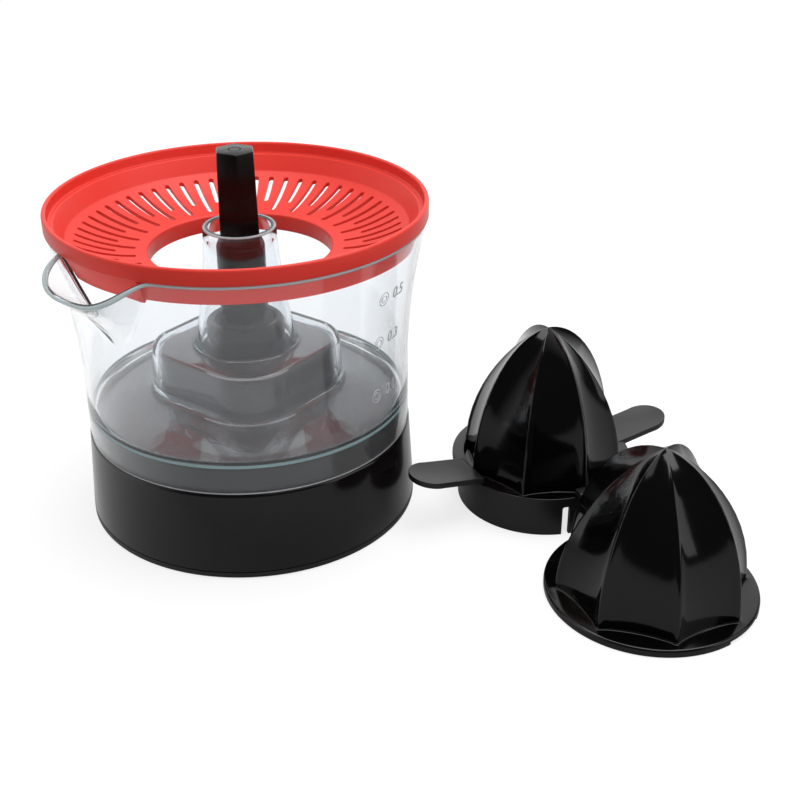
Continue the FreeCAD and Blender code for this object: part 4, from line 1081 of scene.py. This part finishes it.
def makeCamera():
    bpy.ops.object.camera_add()
    camera = bpy.context.object
    camera.name = "photoCamera"
    heading = math.radians(view["heading"])
    pitch = math.radians(view["pitch"])
    roll = math.radians(view["roll"])
    level = math.cos(pitch)
    ahead = Vector((math.sin(heading) * level, math.cos(heading) * level, -math.sin(pitch)))
    right = Vector((math.cos(heading), -math.sin(heading), 0))
    above = right.cross(ahead)
    rightTilt = right * math.cos(roll) + above * math.sin(roll)
    aboveTilt = above * math.cos(roll) - right * math.sin(roll)
    place = Matrix((rightTilt, aboveTilt, -ahead)).transposed().to_4x4()
    place.translation = Vector((view["x"], view["y"], view["z"])) * mm
    camera.matrix_world = place
    camera.data.sensor_width = view["sensor"]
    camera.data.lens = view["sensor"] * view["pixels"] / view["picture"]
    camera.data.clip_start = view["near"]
    camera.data.clip_end = view["far"]
    bpy.context.scene.camera = camera


makeCamera()
print("camera set")

# white studio: a bright sweep behind the object, dim on the side of the camera
studio = {"floor": 0.30, "floorSize": 12, "floorSeen": 0.76, "floorFront": 0.14, "floorBack": 0.85,
          "floorRamp": 4.5, "floorStart": 0.34, "ahead": (-0.94, 0.34),
          "sky": 0.62, "sweep": 1.05, "sweepRamp": 1.7, "sweepStart": 0.25, "front": 0.05,
          "frontInGlass": 0.13, "sweepTop": 2.0, "topRamp": 1.6, "topLeast": 0.2, "topFade": 0.3}
# each by place, aim, width, height and power
lamps = {"overheadSoftbox": ((0.1, 0.25, 1.15), (0.05, 0.0, 0.06), 1.1, 0.9, 9.0),
         "rightSoftbox": ((1.15, 0.45, 0.55), (0.1, 0.0, 0.06), 0.9, 0.9, 2.6)}


def facingSweep(board, vector):
    part = board.add("ShaderNodeSeparateXYZ", None, {"Vector": vector})
    aheadX, aheadY = studio["ahead"]
    return board.out(part, "X") * aheadX + board.out(part, "Y") * aheadY, board.out(part, "Z")


def rayKinds(board):
    path = board.add("ShaderNodeLightPath")
    through = board.out(path, "Transmission Depth").atMost(1.0)
    mirrored = board.out(path, "Glossy Depth").atMost(1.0)
    return board.out(path, "Is Camera Ray"), mirrored, through


def makeFloor():
    deselectAll()
    bpy.ops.mesh.primitive_plane_add(size=studio["floorSize"])
    floor = named("floor")
    finish = bpy.data.materials.new("paleFloor")
    finish.use_nodes = True
    tree = finish.node_tree
    board = Board(tree)
    tree.nodes.remove(tree.nodes["Principled BSDF"])
    camera, mirrored, through = rayKinds(board)
    back = facingSweep(board, board.spots())[0]
    share = (back * studio["floorRamp"] + studio["floorStart"]).atLeast(0.0).atMost(1.0)
    level = camera.atLeast(through * (1 - mirrored)) * studio["floorSeen"]
    level = level + mirrored * (studio["floorFront"] + share * (studio["floorBack"] - studio["floorFront"]))
    glow = board.add("ShaderNodeEmission", None, {"Strength": level})
    paint = board.add("ShaderNodeBsdfDiffuse", None, {"Color": (studio["floor"],) * 3})
    both = board.add("ShaderNodeAddShader")
    tree.links.new(glow.outputs[0], both.inputs[0])
    tree.links.new(paint.outputs[0], both.inputs[1])
    tree.links.new(both.outputs[0], tree.nodes["Material Output"].inputs["Surface"])
    floor.data.materials.append(finish)


def makeSky():
    sky = bpy.data.worlds.new("studioSky")
    bpy.context.scene.world = sky
    sky.use_nodes = True
    board = Board(sky.node_tree)
    camera, mirrored, through = rayKinds(board)
    back, up = facingSweep(board, board.out(board.add("ShaderNodeTexCoord"), "Generated"))
    high = studio["sweepTop"] - up.atLeast(0.0) * studio["topRamp"]
    high = high.atLeast(studio["topLeast"]).atMost(1.0)
    share = (back * studio["sweepRamp"] + studio["sweepStart"]).atLeast(0.0).atMost(1.0)
    share = share * (high + through * (1 - high))
    front = studio["front"] + through * studio["frontInGlass"]
    gloss = front + share * (studio["sweep"] - front)
    seen = 1 - up.atLeast(0.0) * studio["topFade"]
    level = mirrored * gloss + (1 - mirrored) * (through * seen + (1 - through) * studio["sky"])
    level = camera + (1 - camera) * level
    glow = sky.node_tree.nodes["Background"]
    plug(sky.node_tree, glow.inputs["Strength"], level)
    plug(sky.node_tree, glow.inputs["Color"], (1.0, 1.0, 1.0))


def makeLamp(name, place, target, wide, tall, power):
    bpy.ops.object.light_add(type="AREA")
    lamp = bpy.context.object
    lamp.name = name
    lamp.data.shape = "RECTANGLE"
    lamp.data.size = wide
    lamp.data.size_y = tall
    lamp.data.energy = power
    lamp.location = place
    lamp.rotation_euler = (Vector(target) - Vector(place)).to_track_quat("-Z", "Y").to_euler()
    lamp.visible_transmission = False


makeFloor()
makeSky()
for name, settings in lamps.items():
    makeLamp(name, *settings)
bpy.context.scene.view_settings.view_transform = "Standard"
print("studio made")
